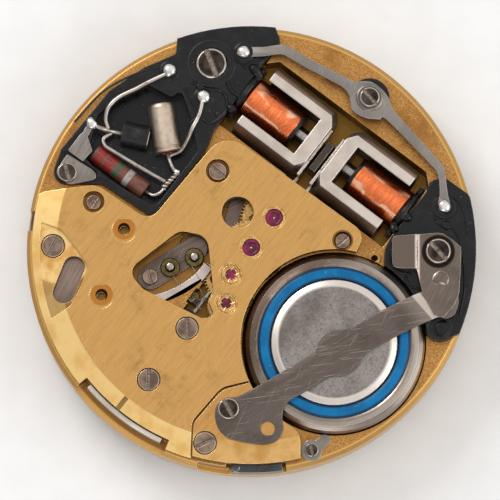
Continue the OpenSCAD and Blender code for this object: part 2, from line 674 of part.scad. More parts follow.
// Electrical parts in the tray
can_at = [-5.58, 7.85];
can_r = 0.87;
can_len = 3.2;
can_turn = -80.7;
can_round = 0.2;
diode_at = [-7.45, 7.4];
diode_turn = -12;
diode_r = 0.8;
diode_len = 1.7;
diode_h = 1.44;
diode_w = 1.5;
resistor_at = [-8.45, 5.05];
resistor_r = 0.64;
resistor_len = 4.1;
resistor_cap_len = 0.7;
resistor_waist = 0.04;
resistor_turn = -37.6;
pad_z = module_top;
tab_t = 0.12;
tab_root = [-10.75, 7.2];
tab_tongue_r = 0.2;
solder_at = [[-5.25, 11.5], [-0.5, 12.65], [-3.05, 9.8], [-10.25, 8.05], [12.35, 2.65], [-4.85, 4.85]];
solder_r = [0.48, 0.46, 0.46, 0.42, 0.48, 0.34];
module lying(at, z, turn) {
    translate([at[0], at[1], z]) rotate([0, 0, turn]) rotate([0, 90, 0]) children();
}
module can_transistor() {
    color("silver") lying(can_at, tray_z + can_r, can_turn) {
        translate([0, 0, -can_len / 2 + can_round]) cylinder(r = can_r, h = can_len - can_round);
        translate([0, 0, -can_len / 2]) cylinder(r1 = can_r - can_round, r2 = can_r, h = can_round);
    }
}
module plastic_diode() {
    color("#2b2c30") lying(diode_at, tray_z + diode_h / 2, diode_turn) intersection() {
        cylinder(r = diode_r, h = diode_len, center = true);
        cube([diode_h, diode_w, diode_len + 1], center = true);
    }
}
module resistor() {
    color("#7a3d2c") lying(resistor_at, tray_z + resistor_r, resistor_turn) {
        cylinder(r = resistor_r - resistor_waist, h = resistor_len - resistor_cap_len, center = true);
        for (s = [-1, 1]) translate([0, 0, s * (resistor_len - resistor_cap_len) / 2])
            cylinder(r = resistor_r, h = resistor_cap_len, center = true);
    }
}
lead_r = 0.12;
lead_z = module_top - 0.05;
// Height of a lead's middle where it lies on the moulding
over_z = module_top + lead_r + 0.02;
module component_leads() {
    color("lightgray") {
        wire([[-5.5, 11.25, over_z], [-6.1, 10.97, over_z], [-6.7, 10.68, over_z], [-7.4, 10.3, over_z],
            [-8.5, 9.75, over_z], [-9.15, 9.1, over_z], [-9.35, 8.4, lead_z], [-9.2, 7.8, lead_z]], lead_r);
        wire([[-9.9, 7.85, over_z], [-9.5, 7.7, over_z - 0.1], [-8.9, 7.6, lead_z - 0.35],
            [-8.3, 7.5, tray_z + 0.9]], lead_r);
        wire([[-9.0, 7.5, lead_z - 0.4], [-9.5, 7.15, lead_z - 0.4], [-9.4, 6.7, lead_z - 0.35],
            [-8.9, 6.35, lead_z - 0.3], [-7.0, 5.2, lead_z - 0.3], [-5.4, 4.5, lead_z - 0.3]], lead_r);
        wire([[-3.15, 9.4, over_z], [-3.35, 8.6, over_z], [-3.8, 7.7, over_z], [-4.05, 7.1, lead_z - 0.15],
            [-4.5, 6.4, lead_z - 0.5], [-5.15, 6.1, tray_z + 0.87]], lead_r);
        wire([[-5.35, 6.15, tray_z + 0.8], [-5.15, 5.5, lead_z - 0.5], [-4.95, 5.1, lead_z - 0.45]], lead_r);
        wire([[-6.75, 3.75, tray_z + resistor_r], [-6.3, 3.5, tray_z + 0.8], [-5.85, 3.65, tray_z + 0.95],
            [-5.5, 4.05, tray_z + 1.0], [-5.1, 4.6, tray_z + 1.0]], lead_r);
    }
}
module solder_joints() {
    color("gainsboro") for (i = [0:5]) {
        z = i == 5 ? lead_z - 0.45 : i == 3 ? pad_z + tab_t : i == 1 || i == 4 ? bar_top : pad_z;
        difference() {
            translate([solder_at[i][0], solder_at[i][1], z]) sphere(r = solder_r[i], $fn = 32);
            translate([solder_at[i][0] - 1, solder_at[i][1] - 1, z - 2]) cube([2, 2, 2]);
        }
    }
}
module ground_tab() {
    color("silver") slab(ground_pts, pad_z, pad_z + tab_t);
    color("silver") oblong(tab_root, solder_at[3], tab_tongue_r, pad_z, pad_z + tab_t);
}
clamp_top = module_top - corner_sink + corner_clamp_t;
module corner_clamp() {
    color("silver") difference() {
        slab(corner_pts, module_top - corner_sink, clamp_top);
        disc(corner_screw[0], shank_r, 0, far, 32);
    }
}

// Contact bar between the two mouldings, held by a screw through an insulator
bar_z = bridge_top - 0.2;
bar_t = 0.16;
bar_w = 0.62;
hub_r = 1.22;
hub_pad_r = 1.28;
end_pad_r = [0.7, 0.75];
bar_top = bar_z + bar_t;
bar_pts = [[-0.2, 12.65], [1.1, 12.75], [2.3, 12.95], [6.3, 10.55], [7.6, 9.7], [9.0, 8.3],
    [11.7, 5.5], [12.2, 4.6], [12.35, 2.65]];
module contact_bar() {
    color("silver") difference() {
        union() {
            bar(bar_pts, bar_w, bar_z, bar_top);
            disc(bar_screw[0], hub_r, bar_z, bar_top);
        }
        disc(bar_screw[0], shank_r + 0.02, 0, far, 32);
    }
}
module contact_insulator() {
    color("#1b1c20") difference() {
        union() {
            disc(bar_screw[0], hub_pad_r, ledge_z, bar_z);
            disc(solder_at[1], end_pad_r[0], module_top, bar_z);
            disc(solder_at[4], end_pad_r[1], module_top, bar_z);
        }
        disc(bar_screw[0], shank_r, 0, far, 32);
    }
}
module contact_plate() {
    color("silver") difference() {
        slab(contact_pts, contact_z, contact_z + strap_t);
        disc(plate_screw[0], shank_r, 0, far, 32);
    }
}
module battery_strap() {
    color("silver") difference() {
        slab(strap_pts, strap_z, strap_z + strap_t);
        disc(strap_screw[0], shank_r, 0, far, 32);
        disc(strap_hole, strap_hole_r, 0, far, 32);
        oblong(land[0], land[1], land_r + past, 0, far);
    }
}
module cell_clip() {
    color("silver") difference() {
        union() {
            disc(clip_screw[0], clip_r, ledge_z, ledge_z + clip_t);
            oblong(clip_screw[0], clip_nose, clip_nose_r, ledge_z, ledge_z + clip_t);
        }
        disc(clip_screw[0], shank_r, 0, far, 32);
        disc(cell_at, cell_r + run, 0, far, 120);
    }
}

// Button cell: a can, a coloured sealing ring crimped in it, and a cap
module cell_can() {
    r0 = gasket_r;
    color("silver") translate([cell_at[0], cell_at[1], cell_z]) rotate_extrude($fn = 120)
        polygon([[0, 0], [cell_r - 0.2, 0], [cell_r, 0.2], [cell_r, cell_h - 0.75],
            [cell_r - 0.12, cell_h - 0.45], [cell_r - 0.4, cell_h - 0.22], [r0 + 0.15, cell_h - 0.12],
            [r0, cell_h - 0.2], [r0, cell_h - 0.6], [0, cell_h - 0.6]]);
}
module cell_gasket() {
    r0 = gasket_r - gasket_w;
    color("#1f78b4") translate([cell_at[0], cell_at[1], cell_z]) rotate_extrude($fn = 120)
        polygon([[r0, cell_h - 0.6], [gasket_r, cell_h - 0.6], [gasket_r, cell_h - 0.15],
            [gasket_r - 0.16, cell_h - 0.06], [r0 + 0.16, cell_h - 0.06], [r0, cell_h - 0.15]]);
}
module cell_cap() {
    r0 = gasket_r - gasket_w;
    color("gainsboro") translate([cell_at[0], cell_at[1], cell_z]) rotate_extrude($fn = 120)
        polygon([[0, cell_h - 0.6], [r0, cell_h - 0.6], [r0, cell_h - 0.3], [r0 - 0.12, cell_h - 0.12],
            [r0 - 0.45, cell_h], [0, cell_h]]);
}

// Screws in groups of like ones
module bridge_screws() {
    color("#4a4648") {
        for (s = flush_screws) screw(s, bridge_top);
        for (s = sunk_screws) screw(s, bridge_top - low_head);
        screw(pocket_screw, bridge_top - pocket_sink);
        screw(block_screw, bridge_top);
        screw(lever_screw, lever_top + lever_screw[3] + head_gap);
    }
}
module module_screws() {
    color("#3a3a40") {
        screw(module_screw, module_top + module_screw[3] - collar_h);
        screw(corner_screw, clamp_top + corner_screw[3]);
        screw(bar_screw, bar_top + bar_screw[3]);
    }
}
module strap_screws() {
    color("#4a4648") {
        screw(strap_screw, strap_z + strap_t + strap_screw[3]);
        screw(plate_screw, contact_z + strap_t + plate_screw[3]);
        screw(clip_screw, ledge_z + clip_t + clip_screw[3]);
    }
}
module fork_screws() {
    color("#4a4648") in_fork() screw(fork_screw, slot_z + fork_base_t + fork_screw[3]);
}

// Jewels in the bridge and under the train
jewel_z = bridge_top - 0.12;
jewel_low_z = bridge_z + 0.25;
setting_z = bridge_top - 0.02;
oil_sink_r = 0.34;
oil_sink = 0.12;
cap_z = jewel_z - 0.1;
cap_jewel_r = 0.4;
lyre_r = 0.36;
lyre_gap = 0.14;
low_jewel_r = 0.35;
low_jewel_t = 0.2;
module jewels() {
    color("#9b1b4a") in_fork() {
        for (p = [[0, 0], third_at]) difference() {
            disc(p, jewel_r, jewel_low_z, jewel_z);
            disc(p, pivot_r + run, bridge_z, jewel_z - 0.3, 24);
            disc(p, oil_sink_r, jewel_z - oil_sink, far, 32);
        }
        for (p = [first_at, index_at]) difference() {
            disc(p, cap_jewel_r, jewel_low_z, cap_z);
            disc(p, pivot_r + run, bridge_z, jewel_z - 0.35, 24);
        }
    }
}
module jewel_settings() {
    color("gold") in_fork() {
        for (p = [[0, 0], third_at]) difference() {
            disc(p, setting_r, bridge_z, setting_z);
            disc(p, jewel_r, jewel_low_z, far);
            disc(p, arbor_r + 0.08, 0, far, 32);
        }
        for (p = [first_at, index_at]) difference() {
            disc(p, setting_r, bridge_z, setting_z);
            disc(p, cap_jewel_r, jewel_low_z, far);
            disc(p, setting_r - 0.12, cap_z, far);
            disc(p, arbor_r + 0.08, 0, far, 32);
        }
    }
}
// Open springs that hold the two cap jewels
module shock_springs() {
    color("gold") in_fork() for (p = [first_at, index_at]) difference() {
        disc(p, setting_r - 0.13, cap_z, jewel_z, 48);
        disc(p, lyre_r, 0, far, 48);
        translate([p[0] - lyre_gap / 2, p[1], 0]) cube([lyre_gap, 1, far]);
    }
}
module lower_jewels() {
    color("#9b1b4a") in_fork() for (p = [first_at, index_at]) difference() {
        disc(p, low_jewel_r, slot_z - low_jewel_t, slot_z, 32);
        disc(p, pivot_r + run, 0, far, 24);
    }
}

// Wheels. Each arbor ends in pivots that run in the jewels.
module arbor(at) {
    disc(at, arbor_r, slot_z + shake, bridge_z - shake, 24);
    disc(at, pivot_r, slot_z + shake - low_pivot, bridge_z - shake + top_pivot, 16);
}
module index_wheel() {
    pinion_r = pitch_r(index_dist, index_leaves, first_teeth);
    color("burlywood") in_fork() {
        arbor(index_at);
        translate([index_at[0], index_at[1], index_wheel_z]) toothed(index_teeth, index_r, index_wheel_t);
        translate([index_at[0], index_at[1], low_wheel_z - 0.04])
            rotate([0, 0, mesh_angle(first_at, index_at, 0, first_teeth, index_leaves)])
            toothed(index_leaves, pinion_r, pinion_t);
    }
}
// Turn that puts a follower's tooth space on the line to a driver's tooth
function mesh_angle(a, b, turn_a, teeth_a, teeth_b) =
    let (line = atan2(b[1] - a[1], b[0] - a[0]),
        phase = (line - turn_a) * teeth_a / 360,
        off = phase - floor(phase))
    line + 180 + (off - 0.5) * 360 / teeth_b;
module first_wheel() {
    color("burlywood") in_fork() {
        arbor(first_at);
        translate([first_at[0], first_at[1], low_wheel_z])
            toothed(first_teeth, pitch_r(index_dist, first_teeth, index_leaves), wheel_t, 0, wheel_spokes);
        translate([first_at[0], first_at[1], seconds_wheel_z - 0.04]) rotate([0, 0, first_turn])
            toothed(first_leaves, pitch_r(first_v, first_leaves, seconds_teeth), wheel_t + 0.08);
    }
}
first_turn = mesh_angle([0, 0], first_at, 0, seconds_teeth, first_leaves);
third_turn = mesh_angle([0, 0], third_at, 0, seconds_leaves, third_teeth);
module seconds_wheel() {
    color("burlywood") in_fork() {
        disc([0, 0], seconds_r, -seconds_len, seconds_seat_z, 24);
        translate([0, 0, seconds_seat_z])
            cylinder(r1 = seconds_r, r2 = seconds_body_r, h = seconds_taper, $fn = 24);
        disc([0, 0], seconds_body_r, seconds_seat_z + seconds_taper, bridge_z + 0.2, 24);
        disc([0, 0], pivot_r, bridge_z + 0.2 - past, bridge_z + top_pivot, 16);
        translate([0, 0, seconds_wheel_z])
            toothed(seconds_teeth, pitch_r(first_v, seconds_teeth, first_leaves), wheel_t, 0, wheel_spokes);
        translate([0, 0, low_wheel_z - 0.05])
            toothed(seconds_leaves, pitch_r(third_v, seconds_leaves, third_teeth), 0.25);
    }
}
module third_wheel() {
    pinion_r = pitch_r(third_v, third_leaves, centre_teeth);
    color("burlywood") in_fork() {
        disc(third_at, arbor_r, wheel_t + 0.04, bridge_z - shake, 24);
        disc(third_at, pivot_r, 0.02, bridge_z + top_pivot, 16);
        translate([third_at[0], third_at[1], low_wheel_z]) rotate([0, 0, third_turn])
            toothed(third_teeth, pitch_r(third_v, third_teeth, seconds_leaves), wheel_t, 0, wheel_spokes);
        translate([third_at[0], third_at[1], centre_wheel_z - 0.08])
            toothed(third_leaves, pinion_r, wheel_t + 0.16);
    }
}
module centre_wheel() {
    turn = mesh_angle(third_at, [0, 0], 0, third_leaves, centre_teeth);
    color("burlywood") in_fork() difference() {
        union() {
            disc([0, 0], centre_tube_r, -centre_tube_len, slot_z + 0.2, 32);
            translate([0, 0, centre_wheel_z]) rotate([0, 0, turn])
                toothed(centre_teeth, pitch_r(third_v, centre_teeth, third_leaves), wheel_t, 0, wheel_spokes);
        }
        disc([0, 0], seconds_body_r + run, -far, far, 32);
    }
}
module cannon_pinion() {
    color("burlywood") difference() {
        union() {
            disc([0, 0], minute_pipe_r, -minute_pipe_len, minute_seat_z, 48);
            disc([0, 0], cannon_body_r, minute_seat_z, minute_wheel_z - 0.04, 48);
            translate([0, 0, minute_wheel_z - 0.04])
                toothed(cannon_leaves, pitch_r(motion_dist, cannon_leaves, minute_teeth), 0.2);
        }
        disc([0, 0], centre_tube_r, -far, far, 32);
    }
}
module minute_wheel() {
    wheel_turn = mesh_angle([0, 0], motion_at, 0, cannon_leaves, minute_teeth);
    color("burlywood") translate([motion_at[0], motion_at[1], 0]) {
        disc([0, 0], minute_arbor_r, 0.02, web_z - shake, 24);
        translate([0, 0, minute_wheel_z]) rotate([0, 0, wheel_turn])
            toothed(minute_teeth, pitch_r(motion_dist, minute_teeth, cannon_leaves), wheel_t);
        translate([0, 0, hour_wheel_z - 0.02])
            toothed(minute_leaves, pitch_r(motion_dist, minute_leaves, hour_teeth), 0.22);
    }
}
module hour_wheel() {
    turn = mesh_angle(motion_at, [0, 0], 0, minute_leaves, hour_teeth);
    color("burlywood") difference() {
        union() {
            disc([0, 0], hour_pipe_r, -hour_pipe_len, hour_shoulder_z, 48);
            disc([0, 0], hour_boss_r, hour_shoulder_z, hour_wheel_z + past, 48);
            translate([0, 0, hour_wheel_z]) rotate([0, 0, turn])
                toothed(hour_teeth, pitch_r(motion_dist, hour_teeth, minute_leaves), wheel_t);
        }
        disc([0, 0], cannon_body_r + run, -far, far, 48);
    }
}

// Pawl finger on tine 1 and the fixed index finger, each a leaf with a jewel at its tip
leaf_t = 0.05;
finger_jewel_r = 0.06;
pawl_block = 0.4;
pawl_block_v = -5.0;
pawl_leaf = [[-0.8, -4.75], [-0.36, -4.15]];
finger_tip = [2.02, -4.5];
module finger(root, tip) {
    bar([root, tip], leaf_t, index_wheel_z - 0.06, index_wheel_z + 0.1);
    disc(tip, finger_jewel_r, index_wheel_z - 0.08, index_wheel_z + 0.12, 16);
}
module pawl_finger() {
    color("silver") in_fork() {
        translate([-cup_u - pawl_block, pawl_block_v, tine_z + 0.3])
            cube([pawl_block, pawl_block, index_wheel_z + 0.1 - tine_z - 0.3]);
        finger(pawl_leaf[0], pawl_leaf[1]);
    }
}
module index_finger() {
    color("silver") in_fork() {
        disc(finger_post_at, finger_post_r, train_z, index_wheel_z + 0.15, 24);
        finger(finger_post_at, finger_tip);
    }
}

// Setting work that shows through the windows of the bridge
module setting_lever() {
    color("#5a5456") difference() {
        union() {
            oblong(lever_screw[0], lever_end, lever_r, lever_z, lever_top);
            disc(lever_end, lever_boss_r, lever_low_z, lever_z + 0.01);
            bar(lever_arm, lever_arm_w, lever_low_z, lever_low_z + lever_arm_t);
            for (p = post_at) {
                disc(p, post_collar_r, lever_top - past, lever_top + post_collar_h, 48);
                disc(p, post_r, lever_top - past, post_top, 32);
            }
        }
        disc(lever_screw[0], shank_r + run, 0, far, 32);
    }
}
module detent_spring() {
    color("gainsboro") oblong(detent[0], detent[1], detent_r, detent_z, bridge_z);
}
module rocker_plate() {
    color("#6b5a5a") oblong(rocker[0], rocker[1], rocker_r, train_z, train_z + rocker_t);
}
module rim_spring() {
    color("lightsteelblue") rim_sector(rim_slot_r + past, rim_slot_r + past + spring_t,
        spring_arc + [2, -2], rim_slot_z, rim_slot_z + spring_h);
}
module dial_foot_catch() {
    color("#7d8288") rim_sector(catch_r, plate_r - 0.02, catch_arc + [1.6, -1], catch_z, ledge_z - 0.1);
    color("gold") rotate([0, 0, catch_pin_angle])
        disc([plate_r - 0.32, 0], catch_pin_r, catch_z, ledge_z - past, 24);
}
module stem_bush() {
    color("#6d6f74") stem_line() difference() {
        translate([0.45, 0, stem_z + 0.2]) cube([1.2, bush_w, 1.5], center = true);
        translate([-2, 0, stem_z]) rotate([0, 90, 0]) cylinder(r = stem_r, h = far, $fn = 32);
    }
}

main_plate();
train_bridge();
strap_block();
motion_cover();
fork_base();
tine(-1);  // tine_1
tine(1);  // tine_2
cup(-1);  // cup_1
cup(1);  // cup_2
magnet(-1);  // magnet_1
magnet(1);  // magnet_2
bobbin(-1);  // bobbin_1
bobbin(1);  // bobbin_2
winding(-1);  // winding_1
winding(1);  // winding_2
circuit_module();
contact_module();
can_transistor();
plastic_diode();
resistor();
component_leads();
solder_joints();
ground_tab();
corner_clamp();
contact_bar();
contact_insulator();
contact_plate();
battery_strap();
cell_clip();
cell_can();
cell_gasket();
cell_cap();
bridge_screws();
module_screws();
strap_screws();
fork_screws();
jewels();
jewel_settings();
shock_springs();
lower_jewels();
index_wheel();
first_wheel();
seconds_wheel();
third_wheel();
centre_wheel();
cannon_pinion();
minute_wheel();
hour_wheel();
pawl_finger();
index_finger();
setting_lever();
detent_spring();
rocker_plate();
rim_spring();
dial_foot_catch();
stem_bush();
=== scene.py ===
"""A tuning fork watch movement, dressed in Blender from its back, as it is put together:
plate, train, setting work, fork and coils, bridges, mouldings, electrical parts, contacts
and strap, power cell and screws. Sizes are in millimetres and become metres in the meshes."""

import math

import bmesh
import bpy
import numpy as np
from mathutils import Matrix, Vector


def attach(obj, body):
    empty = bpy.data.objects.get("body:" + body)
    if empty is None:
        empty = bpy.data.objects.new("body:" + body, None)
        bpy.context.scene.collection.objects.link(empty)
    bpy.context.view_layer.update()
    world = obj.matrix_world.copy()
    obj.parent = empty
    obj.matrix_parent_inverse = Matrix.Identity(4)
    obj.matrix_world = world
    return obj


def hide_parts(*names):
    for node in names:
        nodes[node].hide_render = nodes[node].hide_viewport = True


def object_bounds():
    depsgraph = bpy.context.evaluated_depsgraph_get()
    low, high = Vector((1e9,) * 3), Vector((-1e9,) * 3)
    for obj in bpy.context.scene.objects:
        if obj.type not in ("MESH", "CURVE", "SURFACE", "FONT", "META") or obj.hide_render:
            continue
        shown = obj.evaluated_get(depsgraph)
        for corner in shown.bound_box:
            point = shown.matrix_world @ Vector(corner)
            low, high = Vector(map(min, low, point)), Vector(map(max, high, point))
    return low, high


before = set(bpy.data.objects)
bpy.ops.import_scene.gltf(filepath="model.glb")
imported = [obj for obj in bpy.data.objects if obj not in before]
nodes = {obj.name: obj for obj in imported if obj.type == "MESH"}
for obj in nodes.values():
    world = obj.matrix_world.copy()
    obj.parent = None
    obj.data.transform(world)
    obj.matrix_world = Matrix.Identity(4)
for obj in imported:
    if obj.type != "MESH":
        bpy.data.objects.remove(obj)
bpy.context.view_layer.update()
MM = 0.001

# Main plate: the plate that everything is screwed to, turned from brass and gilt. Its ledge
# keeps a fine matt grain from tumbling, the rim a bright cut edge, and the pockets milled
# under the train are browner because less light gets into them.

LEDGE_Z, CUT_R = 2.9, 14.0


def linear(code):
    """sRGB hex to linear: v / 12.92 below 0.04045, else ((v + 0.055) / 1.055) to the 2.4."""
    v = np.array([int(code[i:i + 2], 16) for i in (1, 3, 5)]) / 255
    v = np.where(v <= 0.04045, v / 12.92, ((v + 0.055) / 1.055) ** 2.4)
    return (*v.tolist(), 1.0)


def add(owner, kind, ports=None, out=0, **settings):
    """Adds a shader node to a material or world, sets its own settings, gives its inputs a
    value, an sRGB code or a link, and returns one of its outputs."""
    tree = owner.node_tree
    made = tree.nodes.new("ShaderNode" + kind)
    for key, value in settings.items():
        setattr(made, key, value)
    for key, value in (ports or {}).items():
        if isinstance(value, bpy.types.NodeSocket):
            tree.links.new(value, made.inputs[key])
        else:
            made.inputs[key].default_value = linear(value) if isinstance(value, str) else value
    return made.outputs[out]


def begin(name, **ports):
    """A new material with its shader's own values, and the coordinates of the row's frame in
    millimetres."""
    mat = bpy.data.materials.new(name)
    mat.use_nodes = True
    for key, value in ports.items():
        mat.node_tree.nodes["Principled BSDF"].inputs[key.replace("_", " ")].default_value = value
    metres = add(mat, "TexCoord", out="Object")
    return mat, add(mat, "VectorMath", {0: metres, "Scale": 1 / MM}, operation="SCALE")


def coats(mat, under, *rows):
    """Colours laid over each other in turn. A row holds the colour, the value that places it,
    and its share: it rises smoothly from 0 at low to most, which is 1 if not given, at high."""
    for over, value, low, high, *most in rows:
        share = add(mat, "MapRange", {"Value": value, "From Min": low, "From Max": high,
                                      "To Max": most[0] if most else 1.0},
                    interpolation_type="SMOOTHSTEP")
        under = add(mat, "Mix", {0: share, 6: under, 7: over}, 2, data_type="RGBA")
    return under


def brush_lines(mat, where, degrees, long_mm, short_mm, detail=4.0):
    """Noise drawn out into lines at an angle to +X: long_mm long and short_mm wide."""
    along = add(mat, "Mapping", {"Vector": where, "Rotation": (0, 0, -math.radians(degrees))})
    scaled = add(mat, "Mapping", {"Vector": along, "Scale": (1 / long_mm, 1 / short_mm, 1 / short_mm)})
    return add(mat, "TexNoise", {"Vector": scaled, "Scale": 1.0, "Detail": detail, "Roughness": 0.6})


EDGE = 0.995, 0.86


def rounded_edge_highlight(mat, width_mm):
    """(normal rounded over a width, the dot product of the rounded and the true normal): the
    product falls from 1 near an edge, where the finishes lay a painted highlight for light
    caught by the edge. EDGE holds where that starts to show and where it is full."""
    soft = add(mat, "Bevel", {"Radius": width_mm * MM}, samples=6)
    true = add(mat, "NewGeometry", out="True Normal")
    return soft, add(mat, "VectorMath", {0: soft, 1: true}, "Value", operation="DOT_PRODUCT")


def from_axis(mat, where, centre):
    """(distance from an axis along Z, height)."""
    moved = add(mat, "VectorMath", {0: where, 1: (*centre, 0)}, operation="SUBTRACT")
    flat = add(mat, "VectorMath", {0: moved, 1: (1, 1, 0)}, operation="MULTIPLY")
    return (add(mat, "VectorMath", {0: flat}, "Value", operation="LENGTH"),
            add(mat, "SeparateXYZ", {0: moved}, 2))


def surface(mat, colour, grain, rough, depth_mm=0.0, soft=None):
    """Joins a finish to its shader and returns the material: the colour, a roughness that
    runs with the grain, and a bump of a depth from the same grain over the soft normal."""
    ports = {"Height": grain, "Distance": depth_mm * MM}
    if soft is not None:
        ports["Normal"] = soft
    runs = add(mat, "MapRange", {"Value": grain, "From Min": 0.3, "From Max": 0.7,
                                 "To Min": rough[0], "To Max": rough[1]})
    ends = {"Base Color": colour, "Roughness": runs, "Normal": add(mat, "Bump", ports)}
    for port, value in ends.items():
        mat.node_tree.links.new(value, mat.node_tree.nodes["Principled BSDF"].inputs[port])
    return mat


def gilt_grained():
    """Gilt brass, matt: grains of 0.09 mm, brown patches of 2 mm, painted shade that deepens
    below the ledge, a bright cut band from CUT_R out from the hand axis, and painted edge highlights."""
    mat, where = begin("gilt brass, tumbled", Metallic=1.0)
    soft, dot = rounded_edge_highlight(mat, 0.08)
    grain = add(mat, "TexNoise", {"Vector": where, "Scale": 1 / 0.09, "Detail": 2.0, "Roughness": 0.6})
    patch = add(mat, "TexNoise", {"Vector": where, "Scale": 1 / 2.2, "Detail": 5.0, "Roughness": 0.6})
    radius, height = from_axis(mat, where, (0, 0))
    body = coats(mat, "#9b6c3a", ("#cf9b5a", grain, 0.32, 0.7),
                 ("#8d5c2b", patch, 0.48, 0.68, 0.6),
                 ("#87602e", height, LEDGE_Z - 0.04, LEDGE_Z - 0.35, 0.65),
                 ("#86662f", height, LEDGE_Z - 0.7, LEDGE_Z - 1.9, 0.75),
                 ("#dcab63", radius, CUT_R, CUT_R + 0.12, 0.9),
                 ("#ffdc98", dot, *EDGE, 0.85))
    return surface(mat, body, grain, (0.3, 0.46), 0.006, soft)


def dress(mat, *names):
    """Gives CAD nodes a material in place of their own."""
    for name in names:
        nodes[name].data.materials.clear()
        nodes[name].data.materials.append(mat)


dress(gilt_grained(), "main_plate")

# Wheels: brass blanks, hobbed, gilt and pinned to steel arbors. A worker sees fine turning
# marks on their faces; each cut edge carries a painted highlight.


def gilt_turned(name, dark, light, edge):
    """Turned brass with a painted highlight on the edges, in the colour edge, and a grain of
    0.14 mm, coarser than the turning marks it stands for, so that it shows."""
    mat, where = begin(name, Metallic=1.0)
    soft, dot = rounded_edge_highlight(mat, 0.04)
    grain = add(mat, "TexNoise", {"Vector": where, "Scale": 1 / 0.14, "Detail": 3.0})
    body = coats(mat, dark, (light, grain, 0.3, 0.7),
                 (edge, dot, *EDGE, 0.8))
    return surface(mat, body, grain, (0.22, 0.34), 0.003, soft)


wheel_gilt = gilt_turned("gilt brass, turned", "#a87d45", "#e0b876", "#ffe9bd")
dress(wheel_gilt, "index_wheel", "first_wheel", "seconds_wheel", "third_wheel", "centre_wheel",
      "cannon_pinion", "minute_wheel", "hour_wheel")

# Setting work, seen through the windows of the bridge: a dark steel lever that turns on its
# screw, two steel posts with oiled brass collars riveted to it, a light curved detent spring
# over it, and a steel rocker in the sunk pocket. The steel keeps its brown-grey tone.

FORK = math.radians(-37.3)


def from_fork(u, v, z=0.0):
    """A place in the fork's frame, turned by the fork's angle about the hand axis."""
    return np.array([u * math.cos(FORK) - v * math.sin(FORK),
                     u * math.sin(FORK) + v * math.cos(FORK), z])


def grid(rows, cols, wrap=True, flip=False):
    """Quads between neighbours of a rows x cols grid of points, closed round the columns."""
    i, j = np.meshgrid(np.arange(rows - 1), np.arange(cols if wrap else cols - 1), indexing="ij")
    k = (j + 1) % cols
    quads = np.stack([i * cols + j, i * cols + k, (i + 1) * cols + k, (i + 1) * cols + j], -1)
    quads = quads.reshape(-1, 4)
    return quads[:, ::-1] if flip else quads


def placed(name, data):
    """A new object of a mesh, lamp or camera, in the scene."""
    made = bpy.data.objects.new(name, data)
    bpy.context.scene.collection.objects.link(made)
    return made


def piece(name, parts, mats, body="movement", crease=35, sharp=True):
    """One object that rides on a body, from parts (points in mm, faces, number of its
    material). Doubles are merged, faces turned outwards, and edges past the crease angle
    kept sharp."""
    points = np.concatenate([part[0] for part in parts]) * MM
    faces, which, start = [], [], 0
    for part in parts:
        faces += [tuple(int(v) + start for v in face) for face in part[1]]
        which += [part[2] if len(part) > 2 else 0] * len(part[1])
        start += len(part[0])
    mesh = bpy.data.meshes.new(name)
    mesh.from_pydata(points.tolist(), [], faces)
    mesh.polygons.foreach_set("material_index", which)
    work = bmesh.new()
    work.from_mesh(mesh)
    bmesh.ops.remove_doubles(work, verts=work.verts, dist=2e-7)
    bmesh.ops.dissolve_degenerate(work, edges=work.edges, dist=1e-7)
    bmesh.ops.recalc_face_normals(work, faces=work.faces)
    work.to_mesh(mesh)
    work.free()
    mesh.shade_smooth()
    if sharp:
        mesh.set_sharp_from_angle(angle=math.radians(crease))
    for mat in mats if isinstance(mats, list) else [mats]:
        mesh.materials.append(mat)
    made = placed(name, mesh)
    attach(made, body)
    return made


def around(count):
    """Angles in equal steps once round a circle."""
    return np.linspace(0, 2 * math.pi, count, endpoint=False)


def unit(vectors):
    """Each vector over its own length."""
    return vectors / np.linalg.norm(vectors, axis=-1, keepdims=True)


def turned(profile, sides=48):
    """A profile of (radius, height) carried round Z: x = r cos a, y = r sin a, z = h."""
    profile = np.array(profile, float)
    a = around(sides)
    r, h = profile[:, :1], profile[:, 1:]
    points = np.stack([r * np.cos(a), r * np.sin(a), h + 0 * a], -1).reshape(-1, 3)
    return points, grid(len(profile), sides)


def laid(part, at, direction=(0, 0, 1), number=0):
    """The part with its +Z turned to a direction and its origin moved to a place."""
    z = unit(np.array(direction, float))
    x = unit(np.cross((0, 0, 1) if abs(z[2]) < 0.9 else (0, 1, 0), z))
    basis = np.stack([x, np.cross(z, x), z])
    return part[0] @ basis + np.array(at, float), part[1], number


def slab(outline, z0, z1, chamfer=0.03):
    """An outline, anticlockwise, raised from z0 to z1; its top edge is drawn in by the chamfer
    along the bisector of each corner, by chamfer over the cosine of half the turn."""
    p = np.array(outline, float)
    before, after = unit(p - np.roll(p, 1, 0)), unit(np.roll(p, -1, 0) - p)
    side = unit(np.stack([-(before + after)[:, 1], (before + after)[:, 0]], 1))
    half = np.sqrt(np.clip((1 + (before * after).sum(1)) / 2, 0.2, 1))
    inner = p + side * (chamfer / half)[:, None]
    n = len(p)
    rings = [np.column_stack([q, np.full(n, z)]) for q, z in ((p, z0), (p, z1 - chamfer), (inner, z1))]
    faces = [tuple(face) for face in grid(3, n)] + [tuple(range(n))[::-1], tuple(range(2 * n, 3 * n))]
    return np.concatenate(rings), faces


def curve(points, steps=8):
    """A Catmull-Rom curve through points: cubic in t on each stretch, with slopes that are
    half the difference of the neighbours."""
    p = np.array(points, float)
    p = np.concatenate([2 * p[:1] - p[1:2], p, 2 * p[-1:] - p[-2:-1]])
    t = np.linspace(0, 1, steps, endpoint=False)[None, :, None]
    a, b, c, d = (p[i:len(p) - 3 + i, None] for i in range(4))
    q = 0.5 * (2 * b + (c - a) * t + (2 * a - 5 * b + 4 * c - d) * t ** 2
               + (3 * b - a - 3 * c + d) * t ** 3)
    return np.concatenate([q.reshape(-1, p.shape[1]), p[-2:-1]])


